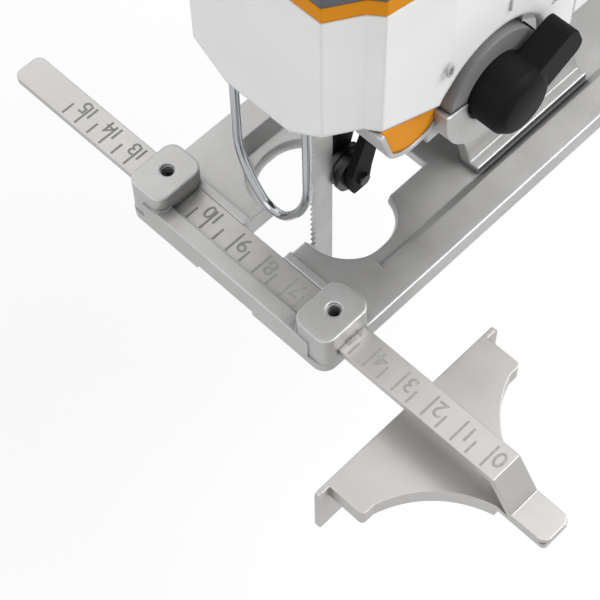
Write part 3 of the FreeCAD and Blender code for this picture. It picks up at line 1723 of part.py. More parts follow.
def handles():
    """The two grey halves of the D handle, hollow for the switch, and the soft grip over the bar."""
    window_y, window_z = ("window_front", "window_back"), ("window_low", "window_high")
    window = prism("window", "YZ", rectangle(window_y, window_z), ("-base_wide", "base_wide"), "9")
    grown = [
        ("%s - shell_wall" % low, "%s + shell_wall" % high)
        for low, high in (window_y, window_z)
    ]
    frame = prism(
        "window_frame",
        "YZ",
        rectangle(*grown),
        ("-base_wide - 1", "base_wide + 1"),
        "10",
    )
    room = cut("handle_room", handle_solid("in", "shell_wall"), frame)
    shell = cut("handle_shell", handle_solid("out", "0"), room, window)
    bosses, holes, screws = screw_and_boss("handle_screw", HANDLE_SCREWS)
    reach = "window_high + shell_wall"
    openings = [
        block(
            "trigger_hole",
            ("-trigger_half - trigger_gap", "trigger_half + trigger_gap"),
            ("trigger_front - trigger_gap", "trigger_front + trigger_long + trigger_gap"),
            ("window_low + 1", reach + " + 1"),
        ),
        block(
            "wheel_slot",
            ("-wheel_half - trigger_gap", "wheel_half + trigger_gap"),
            ("wheel_y - wheel_radius - 1", "wheel_y + wheel_radius + 1"),
            ("wheel_z - wheel_radius", "handle_top + 5"),
        ),
        rod(
            "inlet_hole",
            "Y",
            ("0", "inlet_z"),
            "inlet_radius - 2",
            ("window_back + 14", "shell_back + 20"),
        ),
    ]
    for side, sign in (("left", ""), ("right", "-")):
        half_x = sorted(("0", "%s2 * body_half" % sign), key=val)
        half = block(
            "handle_half_" + side,
            half_x,
            ("nose_front - 5", "2 * shell_back"),
            ("0", "2 * handle_top"),
        )
        kept = common(
            "handle_kept_" + side,
            [fuse("handle_all_" + side, [shell, *bosses[side]]), half],
        )
        tools = openings + holes
        if side == "left":
            tools = tools + [
                rod(
                    "lock_hole",
                    "X",
                    ("lock_y", "lock_z"),
                    "lock_radius + running_fit",
                    ("1", "body_half"),
                )
            ]
        node(cut("handle_" + side, kept, *tools), "handle_" + side)
    node(group("handle_screws", screws), "handle_screws")
    over = handle_solid("grip", "(-grip_thick)")
    reach = block(
        "grip_reach", ("-base_wide", "base_wide"), (
            "window_front + 30",
            "window_back - 6",
        ), ("window_high + 6", "2 * handle_top")
    )
    skin = cut("grip_skin", common("grip_over", [over, reach]), handle_solid("core", "0"))
    node(skin, "soft_grip")


def controls():
    """Trigger, switch, lock button, speed wheel and the cord's inlet bush."""
    trigger_y = ("trigger_front", "trigger_front + trigger_long")
    trigger = prism(
        "trigger_key",
        "YZ",
        rectangle(trigger_y, ("trigger_low", "trigger_low + trigger_high")),
        ("-trigger_half", "trigger_half"),
        "3",
    )
    node(trigger, "trigger")
    switch_y = ("trigger_front + trigger_long + 2", "trigger_front + trigger_long + 36")
    switch_x = ("-(handle_half - shell_wall - 4)", "handle_half - shell_wall - 4")
    node(
        block(
            "switch_body",
            switch_x,
            switch_y,
            ("window_high + shell_wall + 0.4", "window_high + 24"),
        ),
        "switch_module",
    )
    lock_x = ("handle_half - 10", "handle_half + 2.5")
    node(rod("lock_pin", "X", ("lock_y", "lock_z"), "lock_radius", lock_x), "lock_button")
    wheel_x = ("-wheel_half", "wheel_half")
    centre = ("wheel_y", "wheel_z")
    wheel = rod("wheel_round", "X", centre, "wheel_radius", wheel_x)
    axle_hole = rod("wheel_bore", "X", centre, "1.5 + running_fit", ("-base_wide", "base_wide"))
    node(cut("speed_wheel", wheel, axle_hole), "speed_wheel")
    axle_half = "(handle_half - shell_wall - 2.3)"
    node(rod("wheel_axle", "X", centre, "1.5", ("-" + axle_half, axle_half)), "wheel_axle")
    back = "(window_back + 27)"
    flange = rod(
        "inlet_flange",
        "Y",
        ("0", "inlet_z"),
        "inlet_radius",
        (back + " - shell_wall - 4.4", back + " - shell_wall - 2.4"),
    )
    neck = rod(
        "inlet_neck",
        "Y",
        ("0", "inlet_z"),
        "inlet_radius - 2",
        (back + " - shell_wall - 3", back),
    )
    cone = doc.addObject("Part::Cone", "inlet_cone")
    cone.setExpression("Radius1", ex("inlet_radius - 1"))
    cone.setExpression("Radius2", ex("inlet_bore + 1.5"))
    cone.setExpression("Height", ex("inlet_long"))
    cone.Placement = FreeCAD.Placement(Vector(), FreeCAD.Rotation(AXES["Z"], AXES["Y"]))
    place(cone, "0", back + " + 0.2", "inlet_z")
    bore = rod(
        "inlet_through",
        "Y",
        ("0", "inlet_z"),
        "inlet_bore",
        ("0", back + " + inlet_long + 5"),
    )
    step = rod(
        "inlet_step",
        "Y",
        ("0", "inlet_z"),
        "inlet_radius - 2",
        (back + " - 1", back + " + 1"),
    )
    node(cut("cable_bush", fuse("bush_blank", [flange, neck, step, cone]), bore), "cable_bush")


base_plate()
bevel_parts()
guide()
gear_case()
bearing_plate()
drive_train()
motor()
plunger()
blade()
roller_guide()
blade_guard()
front_cover()
side_panels()
selector()
housings()
accent_band()
handles()
controls()
doc.recompute()

for thing in doc.Objects:
    if "Invalid" in thing.State or "Error" in thing.State:
        raise RuntimeError("%s did not build: %s" % (thing.Name, thing.State))
for thing in NODES:
    if thing.Shape.isNull() or not thing.Shape.isValid() or not thing.Shape.Solids:
        raise RuntimeError("%s has no valid solid" % thing.Label)

os.makedirs("parts", exist_ok=True)
for thing in NODES:
    thing.Shape.exportStep("parts/%s.step" % thing.Label)
    print(thing.Label, len(thing.Shape.Solids), round(thing.Shape.Volume))
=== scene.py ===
import json
import math

import bpy
from mathutils import Matrix, Vector

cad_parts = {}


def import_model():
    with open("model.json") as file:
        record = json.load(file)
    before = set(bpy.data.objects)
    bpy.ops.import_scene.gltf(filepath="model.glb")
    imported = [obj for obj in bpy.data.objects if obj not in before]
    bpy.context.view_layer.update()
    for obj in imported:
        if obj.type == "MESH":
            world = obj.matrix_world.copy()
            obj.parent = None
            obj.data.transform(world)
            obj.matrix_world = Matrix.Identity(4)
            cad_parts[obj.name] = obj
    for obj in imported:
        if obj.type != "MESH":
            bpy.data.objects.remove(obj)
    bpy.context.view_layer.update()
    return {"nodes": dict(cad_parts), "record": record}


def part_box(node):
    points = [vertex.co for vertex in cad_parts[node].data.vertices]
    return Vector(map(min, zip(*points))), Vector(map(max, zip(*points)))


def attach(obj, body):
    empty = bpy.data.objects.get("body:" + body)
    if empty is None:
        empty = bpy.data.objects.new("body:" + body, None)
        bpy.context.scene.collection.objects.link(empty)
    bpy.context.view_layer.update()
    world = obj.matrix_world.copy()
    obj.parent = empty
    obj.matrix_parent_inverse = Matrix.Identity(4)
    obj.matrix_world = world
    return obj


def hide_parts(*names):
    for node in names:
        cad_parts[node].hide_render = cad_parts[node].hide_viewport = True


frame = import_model()
NODES = frame["nodes"]
MM = 0.001

# ---------------------------------------------------------------- shader tools


class Value:
    """One output of a shader node. Python's operators add the nodes that combine outputs."""

    def __init__(self, paint, socket):
        self.paint = paint
        self.socket = socket

    def maths(self, operation, *others):
        values = dict(enumerate([self, *others]))
        return self.paint.node("ShaderNodeMath", {"operation": operation}, values)

    def __add__(self, other):
        return self.maths("ADD", other)

    def __sub__(self, other):
        return self.maths("SUBTRACT", other)

    def __mul__(self, other):
        return self.maths("MULTIPLY", other)

    def __rsub__(self, other):
        return self.paint.node("ShaderNodeMath", {"operation": "SUBTRACT"}, {0: other, 1: self})

    __radd__ = __add__
    __rmul__ = __mul__

    def over(self, edge, soft):
        """0 below the edge and 1 above it, with a soft step between."""
        settings = {"interpolation_type": "SMOOTHSTEP"}
        values = {"Value": self, "From Min": edge - soft, "From Max": edge + soft}
        return self.paint.node("ShaderNodeMapRange", settings, values)


class NodeTree:
    """A node tree whose nodes are all made by one method."""

    def __init__(self, tree):
        self.tree = tree

    def node(self, kind, settings, values, output=0):
        made = self.tree.nodes.new(kind)
        for name, value in settings.items():
            setattr(made, name, value)
        for name, value in values.items():
            if isinstance(value, Value):
                self.tree.links.new(value.socket, made.inputs[name])
            else:
                made.inputs[name].default_value = value
        return Value(self, made.outputs[output])

    def show(self, surface):
        """Make this what the material or the world shows."""
        output = next(n for n in self.tree.nodes if n.type.startswith("OUTPUT_"))
        self.tree.links.new(surface.socket, output.inputs["Surface"])

    def seen_directly(self):
        """1 for what the camera sees, straight or in a mirror or a lens, and 0 for the light on things."""
        kinds = ("Camera", "Glossy", "Transmission")
        rays = [self.node("ShaderNodeLightPath", {}, {}, "Is %s Ray" % kind) for kind in kinds]
        return rays[0].maths("MAXIMUM", rays[1]).maths("MAXIMUM", rays[2])


class Paint(NodeTree):
    """A material with one Principled shader."""

    def __init__(self, name, edge=0.0, **constants):
        self.edge = edge
        self.material = bpy.data.materials.new(name)
        self.material.use_nodes = True
        super().__init__(self.material.node_tree)
        self.shader = next(n for n in self.tree.nodes if n.type == "BSDF_PRINCIPLED")
        for socket, value in constants.items():
            self.shader.inputs[socket.replace("_", " ")].default_value = value
        self.place = self.node("ShaderNodeTexCoord", {}, {}, "Object")

    def stretched(self, x, y, z):
        """The place on the object, in millimetres, scaled along each axis."""
        values = {0: self.place, 1: (x / MM, y / MM, z / MM)}
        return self.node("ShaderNodeVectorMath", {"operation": "MULTIPLY"}, values)

    def noise(self, size, detail=2.0, rough=0.5, along=(1, 1, 1)):
        """Noise from 0 to 1 whose lumps are about that many millimetres across."""
        values = {
            "Vector": self.stretched(*along),
            "Scale": 1 / size,
            "Detail": detail,
            "Roughness": rough,
        }
        return self.node("ShaderNodeTexNoise", {}, values)

    def cells(self, size):
        """The distance to the middle of the nearest cell of about that many millimetres."""
        values = {"Vector": self.stretched(1, 1, 1), "Scale": 1 / size}
        return self.node("ShaderNodeTexVoronoi", {}, values, "Distance")

    def mix(self, share, first, second):
        """From the first colour to the second by the share."""
        values = {"Factor": share, 6: first, 7: second}
        return self.node("ShaderNodeMix", {"data_type": "RGBA"}, values, 2)

    def bump(self, height, depth, strength=1.0):
        """A normal from a height of 0 to 1 that is that many millimetres deep, over softened edges."""
        values = {"Height": height, "Distance": depth * MM, "Strength": strength}
        if self.edge:
            values["Normal"] = self.rounded_edges(self.edge)
        return self.node("ShaderNodeBump", {}, values)

    def rounded_edges(self, radius):
        return self.node("ShaderNodeBevel", {"samples": 6}, {"Radius": radius * MM})

    def outer_edges(self, width):
        """1 along a piece's edges and 0 on its faces."""
        rounded = self.rounded_edges(width)
        face = self.node("ShaderNodeNewGeometry", {}, {}, "Normal")
        operation = {"operation": "DOT_PRODUCT"}
        alike = self.node("ShaderNodeVectorMath", operation, {0: rounded, 1: face}, "Value")
        return (1 - alike).over(0.06, 0.05)

    def shaded_corners(self, tone, dark, reach=3.5):
        """The tone, going to the dark colour in narrow gaps and inside corners: painted shade, darkest
        where ambient occlusion finds little open sky.
        """
        values = {"Distance": reach * MM}
        open_sky = self.node("ShaderNodeAmbientOcclusion", {"samples": 6}, values, "AO")
        return self.mix(open_sky.over(0.55, 0.4), dark, tone)

    def finish(self, **varying):
        for socket, value in varying.items():
            self.tree.links.new(value.socket, self.shader.inputs[socket.replace("_", " ")])
        return self.material


def grey(level, warm=0.0):
    return (level * (1 + warm), level, level * (1 - warm), 1.0)


# ---------------------------------------------------------------- materials


def blasted_aluminium():
    """Die casting under a fine blasted finish, with lighter edges that are partly rubbed wear and partly
    painted highlight, and painted shade in gaps and inside corners.
    """
    paint = Paint("aluminium_casting", 0.9, Metallic=0.86, IOR=1.45)
    grain = paint.noise(0.28, 3.0, 0.65)
    cloud = paint.noise(16.0, 3.0)
    speck = paint.cells(0.5)
    tone = paint.mix(cloud.over(0.5, 0.2), grey(0.43, 0.014), grey(0.49, 0.01))
    tone = paint.mix(grain.over(0.62, 0.1) * 0.45, tone, grey(0.7))
    # Lighter edges: partly rubbed wear, partly painted highlight.
    tone = paint.mix(paint.outer_edges(0.6) * cloud.over(0.45, 0.25) * 0.7, tone, grey(0.78))
    # Painted shade: darker in narrow gaps and inside corners.
    tone = paint.shaded_corners(tone, grey(0.1))
    rough = cloud * 0.08 + grain * 0.14 + 0.34
    normal = paint.bump(grain * 0.7 + speck * 0.3, 0.05, 0.55)
    return paint.finish(Base_Color=tone, Roughness=rough, Normal=normal)


def plated_steel():
    """Pressed steel strip under a matt satin plate, with painted shade in its gaps and inside corners."""
    paint = Paint("zinc_plated_steel", 0.45, Metallic=0.88)
    grain = paint.noise(0.3, 3.0, 0.6)
    streak = paint.noise(1.2, 2.0, 0.5, (0.08, 1, 1))
    cloud = paint.noise(22.0, 2.0)
    tone = paint.mix(cloud.over(0.5, 0.25), grey(0.45, 0.022), grey(0.5, 0.02))
    # Painted shade: darker in narrow gaps and inside corners.
    tone = paint.shaded_corners(tone, grey(0.14, 0.02))
    rough = streak * 0.1 + grain * 0.1 + 0.33
    return paint.finish(
        Base_Color=tone,
        Roughness=rough,
        Normal=paint.bump(grain * 0.6 + streak * 0.4, 0.04, 0.5),
    )


def machined_steel(name, level, base_rough, along):
    """Ground or turned steel with its fine lay along one direction."""
    paint = Paint(name, Metallic=1.0)
    lay = paint.noise(0.5, 3.0, 0.6, along)
    stain = paint.noise(9.0, 3.0)
    tone = paint.mix(stain.over(0.52, 0.2), grey(level), grey(level * 0.86, 0.02))
    return paint.finish(
        Base_Color=tone,
        Roughness=lay * 0.16 + base_rough,
        Normal=paint.bump(lay, 0.02, 0.5),
    )


def plated_wire():
    paint = Paint("guard_wire", Metallic=1.0)
    ripple = paint.noise(5.0, 2.0, 0.5, (1, 1, 0.3))
    tone = paint.mix(ripple.over(0.5, 0.3), grey(0.4, -0.06), grey(0.48, -0.04))
    return paint.finish(
        Base_Color=tone,
        Roughness=ripple * 0.08 + 0.1,
        Normal=paint.bump(ripple, 0.05, 0.4),
    )


def moulded(name, color, base_rough, grain_size, depth, coat=0.0, shine=0.5, edge=0.8):
    """Moulded plastic: an even colour with a fine grain and faint flow marks."""
    paint = Paint(name, edge, Coat_Weight=coat, Coat_Roughness=0.12, IOR=1.5, Specular_IOR_Level=shine)
    grain = paint.noise(grain_size, 2.0, 0.6)
    flow = paint.noise(30.0, 2.0, 0.5, (1, 0.4, 1))
    lighter = tuple(min(c * 1.05 + 0.002, 1.0) for c in color[:3]) + (1.0,)
    tone = paint.mix(flow.over(0.5, 0.25), color, lighter)
    rough = grain * 0.1 + flow * 0.06 + base_rough
    return paint.finish(Base_Color=tone, Roughness=rough, Normal=paint.bump(grain, depth, 0.5))


def rubber():
    """Moulded rubber with a pebbled skin."""
    paint = Paint("soft_rubber", 1.0, IOR=1.5, Sheen_Weight=0.1)
    pebble = paint.cells(0.9)
    dust = paint.noise(12.0, 3.0)
    tone = paint.mix(dust.over(0.55, 0.2), grey(0.026), grey(0.04))
    return paint.finish(
        Base_Color=tone,
        Roughness=pebble * 0.2 + 0.55,
        Normal=paint.bump(pebble, 0.12, 0.6),
    )


def laminations():
    """Stacked iron sheets seen edge on."""
    paint = Paint("laminated_iron", Metallic=0.8)
    position = paint.node("ShaderNodeSeparateXYZ", {}, {0: paint.place}, "Y")
    sheets = (position * (2 * math.pi / (0.65 * MM))).maths("SINE") * 0.5 + 0.5
    tone = paint.mix(sheets, grey(0.1), grey(0.24, 0.02))
    return paint.finish(
        Base_Color=tone,
        Roughness=sheets * 0.2 + 0.4,
        Normal=paint.bump(sheets, 0.08, 0.6),
    )


def turned_metal(name, color, rough):
    paint = Paint(name, Metallic=1.0)
    lay = paint.noise(0.5, 2.0, 0.5, (0.2, 1, 0.2))
    tarnish = paint.noise(5.0, 3.0)
    dark = tuple(c * 0.72 for c in color[:3]) + (1.0,)
    tone = paint.mix(tarnish.over(0.55, 0.15), color, dark)
    return paint.finish(Base_Color=tone, Roughness=lay * 0.16 + rough, Normal=paint.bump(lay, 0.02, 0.4))


def printed(name, color):
    """Ink or filled engraving."""
    paint = Paint(name, Metallic=0.0)
    wear = paint.noise(1.2, 3.0)
    worn = tuple(c * 1.25 + 0.01 for c in color[:3]) + (1.0,)
    return paint.finish(
        Base_Color=paint.mix(wear.over(0.6, 0.1), color, worn),
        Roughness=wear * 0.1 + 0.45,
    )


MATERIALS = {
    "aluminium_casting": blasted_aluminium(),
    "zinc_plated_steel": plated_steel(),
    "steel": machined_steel("steel", 0.52, 0.22, (1, 0.15, 1)),
    "guard_wire": plated_wire(),
    "blade_steel": machined_steel("blade_steel", 0.42, 0.26, (1, 1, 0.1)),
    "black_plastic": moulded("black_plastic", (0.004, 0.004, 0.004, 1), 0.5, 0.5, 0.03, shine=0.1),
    "grey_dial": moulded("grey_dial", (0.2, 0.2, 0.205, 1), 0.4, 0.4, 0.03, shine=0.3),
    "white_shell": moulded("white_shell", (0.8, 0.8, 0.795, 1), 0.3, 0.8, 0.01, 0.15, 0.4, 1.3),
    "orange_trim": moulded("orange_trim", (0.7, 0.26, 0.004, 1), 0.5, 0.6, 0.01, 0.0, 0.12),
    "slate_shell": moulded("slate_shell", (0.1, 0.103, 0.112, 1), 0.46, 0.5, 0.04, shine=0.35, edge=1.4),
    "soft_rubber": rubber(),
    "laminated_iron": laminations(),
    "copper": turned_metal("copper", (0.72, 0.3, 0.14, 1), 0.24),
    "sintered_bronze": turned_metal("sintered_bronze", (0.55, 0.36, 0.18, 1), 0.4),
    "carbon": moulded("carbon", (0.02, 0.02, 0.022, 1), 0.5, 0.3, 0.03),
}
BLACKENED = machined_steel("blackened_steel", 0.07, 0.3, (1, 0.15, 1))
OWN_FINISH = {"guide_roller": BLACKENED, "roller_pin": BLACKENED}
RULE_INK = printed("rule_ink", (0.3, 0.3, 0.285, 1))
DIAL_INK = printed("dial_ink", (0.4, 0.4, 0.4, 1))


def paint_with(obj, material):
    obj.data.materials.clear()
    obj.data.materials.append(material)


# ---------------------------------------------------------------- CAD nodes

# Edge radius in millimetres where a piece's edges are softened.
EDGES = {
    "base_plate": 0.9,
    "bevel_bracket": 0.5,
    "guide_rule": 0.25,
    "guide_fence": 0.5,
    "gear_case": 0.6,
    "front_cover": 1.6,
    "side_panel_left": 0.5,
    "side_panel_right": 0.5,
    "selector_dial": 0.8,
    "accent_band": 0.8,
    "handle_left": 1.6,
    "handle_right": 1.6,
    "housing_left": 1.4,
    "housing_right": 1.4,
    "soft_grip": 1.0,
    "trigger": 0.9,
    "speed_wheel": 0.5,
    "lock_button": 0.5,
    "roller_arm": 0.35,
    "guide_roller": 0.3,
    "blade_holder": 0.3,
    "blade_clamp_ring": 0.5,
    "bearing_plate": 0.5,
    "cable_bush": 0.4,
}


def soften(obj, radius, angle=32.0):
    bevel = obj.modifiers.new("soft_edges", "BEVEL")
    bevel.width = radius * MM
    bevel.segments = 3
    bevel.limit_method = "ANGLE"
    bevel.angle_limit = math.radians(angle)
    bevel.harden_normals = True
    bevel.use_clamp_overlap = True


def dress_nodes():
    for entry in frame["record"]["subparts"]:
        node = NODES[entry["node"]]
        paint_with(node, OWN_FINISH.get(entry["node"]) or MATERIALS[entry["material_slot"]])
        if entry["node"] in EDGES:
            soften(node, EDGES[entry["node"]])


# ---------------------------------------------------------------- marks and numbers


def keep(obj, name, material, body):
    obj.name = name
    paint_with(obj, material)
    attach(obj, body)
    return obj


def strip(x, y, z, size_x, size_y, high):
    """The corners and faces of a small flat bar whose lowest corner is at x, y, z."""
    corners = [(i, j, k) for k in (z, z + high) for j in (y, y + size_y) for i in (x, x + size_x)]
    faces = [(0, 2, 3, 1), (4, 5, 7, 6), (0, 1, 5, 4), (1, 3, 7, 5), (3, 2, 6, 7), (2, 0, 4, 6)]
    return corners, faces


def mesh_of(name, parts):
    """One mesh object from several lists of corners and faces, in millimetres."""
    corners, faces = [], []
    for part_corners, part_faces in parts:
        start = len(corners)
        corners += [tuple(c * MM for c in corner) for corner in part_corners]
        faces += [tuple(start + i for i in face) for face in part_faces]
    mesh = bpy.data.meshes.new(name)
    mesh.from_pydata(corners, [], faces)
    obj = bpy.data.objects.new(name, mesh)
    bpy.context.scene.collection.objects.link(obj)
    return obj


def lettering(name, words, size, matrix, thick):
    """Raised figures, as a mesh, with their centre at the matrix's place."""
    curve = bpy.data.curves.new(name, "FONT")
    curve.body = words
    curve.size = size * MM
    curve.extrude = thick * MM
    curve.align_x = "CENTER"
    curve.align_y = "CENTER"
    curve.resolution_u = 4
    made = bpy.data.objects.new(name, curve)
    bpy.context.scene.collection.objects.link(made)
    mesh = bpy.data.meshes.new_from_object(made)
    bpy.data.objects.remove(made)
    mesh.transform(matrix)
    obj = bpy.data.objects.new(name, mesh)
    bpy.context.scene.collection.objects.link(obj)
    return obj


def join(name, objects):
    with bpy.context.temp_override(active_object=objects[0], selected_editable_objects=objects):
        bpy.ops.object.join()
    objects[0].name = name
    return objects[0]


def rule_marks():
    """Centimetre and half-centimetre marks with their numbers, read from behind the guide."""
    low, high = (Vector(c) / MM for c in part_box("guide_rule"))
    zero = high.x - 23.2
    top, front = high.z, low.y
    half_centimetre, tick_wide, tick_high, end_gap = 5, 0.56, 0.13, 4
    turn = Matrix.Rotation(math.pi, 4, "Z")
    bars, figures = [], []
    for half in range(32):
        x = zero - half_centimetre * half
        if x < low.x + end_gap:
            break
        number, between = divmod(half, 2)
        long = 4.2 if between else 7.2
        bars.append(strip(x - tick_wide / 2, front + 0.9, top - 0.05, tick_wide, long, tick_high))
        if between:
            continue
        shift, across, size = (2.6, 5.6, 6.6) if number < 10 else (0.0, 6.6, 6.0)
        place = Matrix.Translation(Vector((x + shift, front + across, top + 0.02)) * MM) @ turn
        figures.append(lettering("figure_%d" % number, str(number), size, place, 0.06))
    ticks = mesh_of("rule_ticks", bars)
    keep(ticks, "rule_ticks", RULE_INK, "guide")
    keep(join("rule_figures", figures), "rule_figures", RULE_INK, "guide")


def dial_place():
    """The dial's front and back X, its radius, and its centre as (y, z)."""
    low, high = (Vector(c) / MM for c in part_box("selector_dial"))
    return low.x, high.x, (high.y - low.y) / 2, ((low.y + high.y) / 2, (low.z + high.z) / 2)


def on_circle(centre, radius, angle):
    """The (y, z) at an angle in radians from the Y direction towards Z."""
    return centre[0] + radius * math.cos(angle), centre[1] + radius * math.sin(angle)


def bar_faces(sections):
    """The faces of a bar whose sections have four corners each, in the order 0 1 / 2 3."""
    faces = []
    for step in range(sections - 1):
        a, b = 4 * step, 4 * step + 4
        faces += [(a, b, b + 1, a + 1), (a + 2, a + 3, b + 3, b + 2)]
        faces += [(a, a + 2, b + 2, b), (a + 1, b + 1, b + 3, a + 3)]
    last = 4 * (sections - 1)
    return faces + [(0, 1, 3, 2), (last, last + 2, last + 3, last + 1)]


def turned(centre, profile, steps=48):
    """A solid turned about the X direction through centre (y, z), from (x, radius) pairs."""
    corners = []
    for x, radius in profile:
        for step in range(steps):
            corners.append((x, *on_circle(centre, radius, 2 * math.pi * step / steps)))
    faces = [tuple(reversed(range(steps)))]
    for ring in range(len(profile) - 1):
        for step in range(steps):
            here, after = ring * steps + step, ring * steps + (step + 1) % steps
            faces.append((here, after, after + steps, here + steps))
    faces.append(tuple(range(len(corners) - steps, len(corners))))
    return corners, faces


def slab(outline, low, high, place):
    """A flat piece from a convex outline of (along, across) points, between two X values. place turns
    a point into (y, z)."""
    count = len(outline)
    corners = [(x, *place(point)) for x in (low, high) for point in outline]
    faces = [tuple(reversed(range(count))), tuple(range(count, 2 * count))]
    for step in range(count):
        after = (step + 1) % count
        faces.append((step, after, after + count, step + count))
    return corners, faces


def smooth(obj, angle=35.0):
    for face in obj.data.polygons:
        face.use_smooth = True
    obj.data.set_sharp_from_angle(angle=math.radians(angle))


def selector_knob():
    """The orbit lever and its round knob, with the moulded chamfer and the rounded lever end."""
    _, face, _, centre = dial_place()
    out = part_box("selector_knob")[1][0] / MM
    radius, rim_radius, face_radius = 9.4, 7.8, 7.3
    profile = [(face, radius), (out - 2.8, radius), (out - 2.2, radius - 0.2)]
    knob = turned(centre, profile + [(out - 0.3, rim_radius), (out, face_radius)])
    turn = math.radians(24)

    def place(point):
        along, across = point
        y = centre[0] + along * math.cos(turn) - across * math.sin(turn)
        return y, centre[1] + along * math.sin(turn) + across * math.cos(turn)

    long, half, corner = 21.5, 5.4, 3.2
    outline = [(0, -half), (long - corner, -half)]
    for step in range(1, 8):
        outline.append(on_circle((long - corner, corner - half), corner, math.pi / 2 * (step / 8 - 1)))
    outline += [(along, -across) for along, across in reversed(outline)]
    bar = slab(outline, face + 2, out - 1.2, place)
    made = mesh_of("selector_lever_knob", [knob, bar])
    smooth(made)
    keep(made, "selector_lever_knob", MATERIALS["black_plastic"], "selector")
    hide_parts("selector_knob")


def ring_part(centre, radii, span, angles, steps=28):
    """Part of a flat ring about the X direction: inner and outer radius, X values, angles in degrees."""
    corners = []
    start, end = angles
    for step in range(steps + 1):
        turn = math.radians(start + (end - start) * step / steps)
        corners += [(x, *on_circle(centre, radius, turn)) for x in span for radius in radii]
    return corners, bar_faces(steps + 1)


def dial_apron():
    """The casting's lip that covers the lower half of the orbit dial."""
    back, face, reach, centre = dial_place()
    angles = (172, 372)
    knob_hole, rim, skin_back, skin_front = 9.9, reach + 1.9, face + 0.25, face + 0.9
    wall = ring_part(centre, (reach + 0.4, rim), (back - 0.2, face + 0.3), angles)
    skin = ring_part(centre, (knob_hole, rim), (skin_back, skin_front), angles)
    made = mesh_of("dial_apron", [wall, skin])
    smooth(made)
    keep(made, "dial_apron", MATERIALS["aluminium_casting"], "machine")


def lower_outline(places, sign):
    """The (y, z) points round the outer face's lower edge, from the front top corner backwards."""
    drop, length = 10.1, 18.8
    outer = max(sign * c.x for c in places)
    points = sorted({(round(c.y, 1), round(c.z, 1)) for c in places if sign * c.x > outer - 0.05})
    front = points[0]
    lower = [point for point in points if point[1] < front[1] - drop and point[0] < front[0] + length]
    return outer, [front] + lower


def panel_rims():
    """The casting's thin lip round the lower edge of each orange side panel."""
    thick, deep, proud = 1.4, 3.4, 0.5
    parts = []
    for side, sign in (("left", 1), ("right", -1)):
        panel = NODES["side_panel_" + side]
        places = [panel.matrix_world @ v.co / MM for v in panel.data.vertices]
        outer, edge = lower_outline(places, sign)
        corners = []
        for index, (y, z) in enumerate(edge):
            before, after = edge[max(index - 1, 0)], edge[min(index + 1, len(edge) - 1)]
            along = Vector((0, after[0] - before[0], after[1] - before[1])).normalized()
            for x in (outer - deep, outer + proud):
                for reach in (0.05, thick):
                    corners.append((sign * x, y + along.z * reach, z - along.y * reach))
        parts.append((corners, bar_faces(len(edge))))
    made = mesh_of("panel_rims", parts)
    smooth(made, 50.0)
    keep(made, "panel_rims", MATERIALS["aluminium_casting"], "machine")


def clamp_threads():
    """The thread crests inside the two guide clamp holes."""
    mount = next(m for m in frame["record"]["mounts"] if m["name"] == "guide_clamp_holes")
    half, radius = mount["dims"]["spacing_x_mm"] / 2, mount["dims"]["hole_r_mm"]
    y, top = mount["pos_m"][1] / MM, mount["pos_m"][2] / MM
    steps, turns = 20, 6
    pitch, first, crest, flank, sunk = 1.0, 0.5, 0.42, 0.4, 0.02
    section = ((radius + sunk, flank), (radius - crest, 0.0), (radius + sunk, -flank))
    parts = []
    for side in (-half, half):
        corners, faces = [], []
        for step in range(steps * turns + 1):
            turn = 2 * math.pi * step / steps
            z = top - first - pitch * step / steps
            for reach, rise in section:
                corners.append((side + reach * math.cos(turn), y + reach * math.sin(turn), z + rise))
        for step in range(steps * turns):
            a, b = 3 * step, 3 * step + 3
            faces += [(a, b, b + 1, a + 1), (a + 1, b + 1, b + 2, a + 2), (a, a + 2, b + 2, b)]
        end = 3 * steps * turns
        faces += [(0, 1, 2), (end, end + 2, end + 1)]
        parts.append((corners, faces))
    made = mesh_of("clamp_threads", parts)
    smooth(made, 25.0)
    keep(made, "clamp_threads", MATERIALS["aluminium_casting"], "base")


def dial_figures():
    """The orbit settings, printed on the nose cover round the dial."""
    _, _, _, centre = dial_place()
    cover = Vector(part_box("front_cover")[1]) / MM
    upright = Matrix(((0, 0, 1, 0), (1, 0, 0, 0), (0, 1, 0, 0), (0, 0, 0, 1)))
    circle, size, thick, sunk, clear = 25.0, 5.6, 0.35, 0.3, 2
    figures = []
    for setting, angle in enumerate((131, 81, 31, -19)):
        y, z = on_circle(centre, circle, math.radians(angle))
        if y > cover.y - clear:
            continue
        place = Matrix.Translation(Vector((cover.x - sunk, y, z)) * MM) @ upright
        figures.append(lettering("setting_%d" % setting, str(setting), size, place, thick))
    keep(join("dial_figures", figures), "dial_figures", DIAL_INK, "machine")


# ---------------------------------------------------------------- stage


def floor():
    """A pale floor, mostly even white to the eye, with a faint shadow. It lies far enough below the
    machine to clear the fence when the base is tilted with the guide drawn out."""
    size, drop = 6.0, 0.115
    level = min(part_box(name)[0][2] for name in NODES) - drop
    mesh = bpy.data.meshes.new("floor")
    corners = [(-size, -size, level), (size, -size, level), (size, size, level), (-size, size, level)]
    mesh.from_pydata(corners, [], [(0, 1, 2, 3)])
    made = bpy.data.objects.new("floor", mesh)
    bpy.context.scene.collection.objects.link(made)
    paint = Paint("floor_white", Base_Color=(0.9, 0.9, 0.9, 1), Roughness=0.8)
    white = paint.node("ShaderNodeEmission", {}, {"Color": (1, 1, 1, 1), "Strength": 1.0})
    lit = Value(paint, paint.shader.outputs[0])
    paint.show(
        paint.node("ShaderNodeMixShader", {}, {0: paint.seen_directly() * 0.85, 1: lit, 2: white})
    )
    paint_with(made, paint.material)


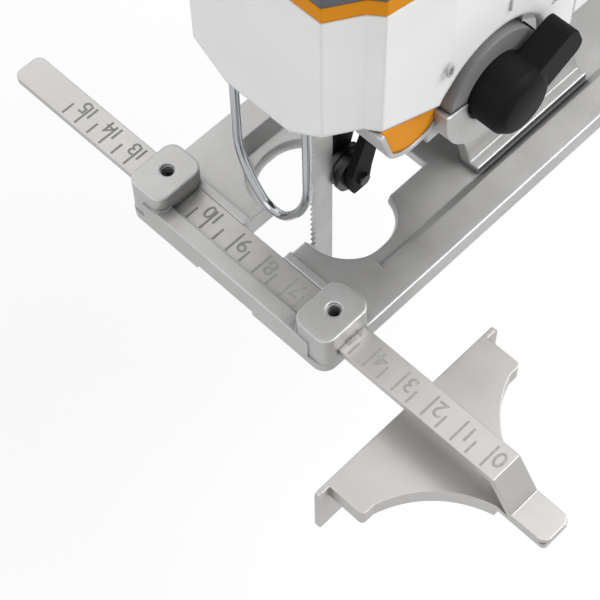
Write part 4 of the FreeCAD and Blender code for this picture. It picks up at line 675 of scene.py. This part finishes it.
def area_light(name, place, target, size, power):
    data = bpy.data.lights.new(name, "AREA")
    data.shape = "RECTANGLE"
    data.size, data.size_y = size
    data.energy = power
    light = bpy.data.objects.new(name, data)
    light.location = place
    light.rotation_euler = (Vector(target) - Vector(place)).to_track_quat("-Z", "Y").to_euler()
    bpy.context.scene.collection.objects.link(light)


def world():
    """Even soft light on things, and plain white where it is seen."""
    made = bpy.data.worlds.new("studio")
    made.use_nodes = True
    studio = NodeTree(made.node_tree)
    white = (1.0, 1.0, 1.0, 1.0)
    light = studio.node("ShaderNodeBackground", {}, {"Color": white, "Strength": 0.4})
    seen = studio.node("ShaderNodeBackground", {}, {"Color": white, "Strength": 1.0})
    studio.show(studio.node("ShaderNodeMixShader", {}, {0: studio.seen_directly(), 1: light, 2: seen}))
    bpy.context.scene.world = made


def camera():
    """From the front left and above, tilted a little, as a long lens sees it."""
    place, target, roll = Vector((0.1904, -0.2316, 0.4089)), Vector((0.0198, -0.0663, 0.008)), -0.0265
    ahead = (target - place).normalized()
    right = ahead.cross(Vector((0, 0, 1))).normalized()
    up = right.cross(ahead)
    across = right * math.cos(roll) + up * math.sin(roll)
    upright = up * math.cos(roll) - right * math.sin(roll)
    data = bpy.data.cameras.new("camera")
    data.sensor_width = 36.0
    data.lens = 107.5
    data.clip_start = 0.01
    made = bpy.data.objects.new("camera", data)
    turned_to = Matrix((across, upright, -ahead)).transposed().to_4x4()
    made.matrix_world = Matrix.Translation(place) @ turned_to
    bpy.context.scene.collection.objects.link(made)
    bpy.context.scene.camera = made


dress_nodes()
rule_marks()
dial_figures()
selector_knob()
dial_apron()
panel_rims()
clamp_threads()
floor()
world()
area_light("key", (0.5, 0.55, 0.95), (0.0, -0.03, 0.05), (0.7, 0.7), 12.5)
area_light("fill", (-0.8, 0.0, 0.8), (0.0, -0.03, 0.05), (0.9, 0.9), 2.5)
area_light("front", (0.1, -1.0, 0.6), (0.0, 0.0, 0.06), (0.8, 0.8), 3.0)
camera()
bpy.context.scene.view_settings.view_transform = "Standard"
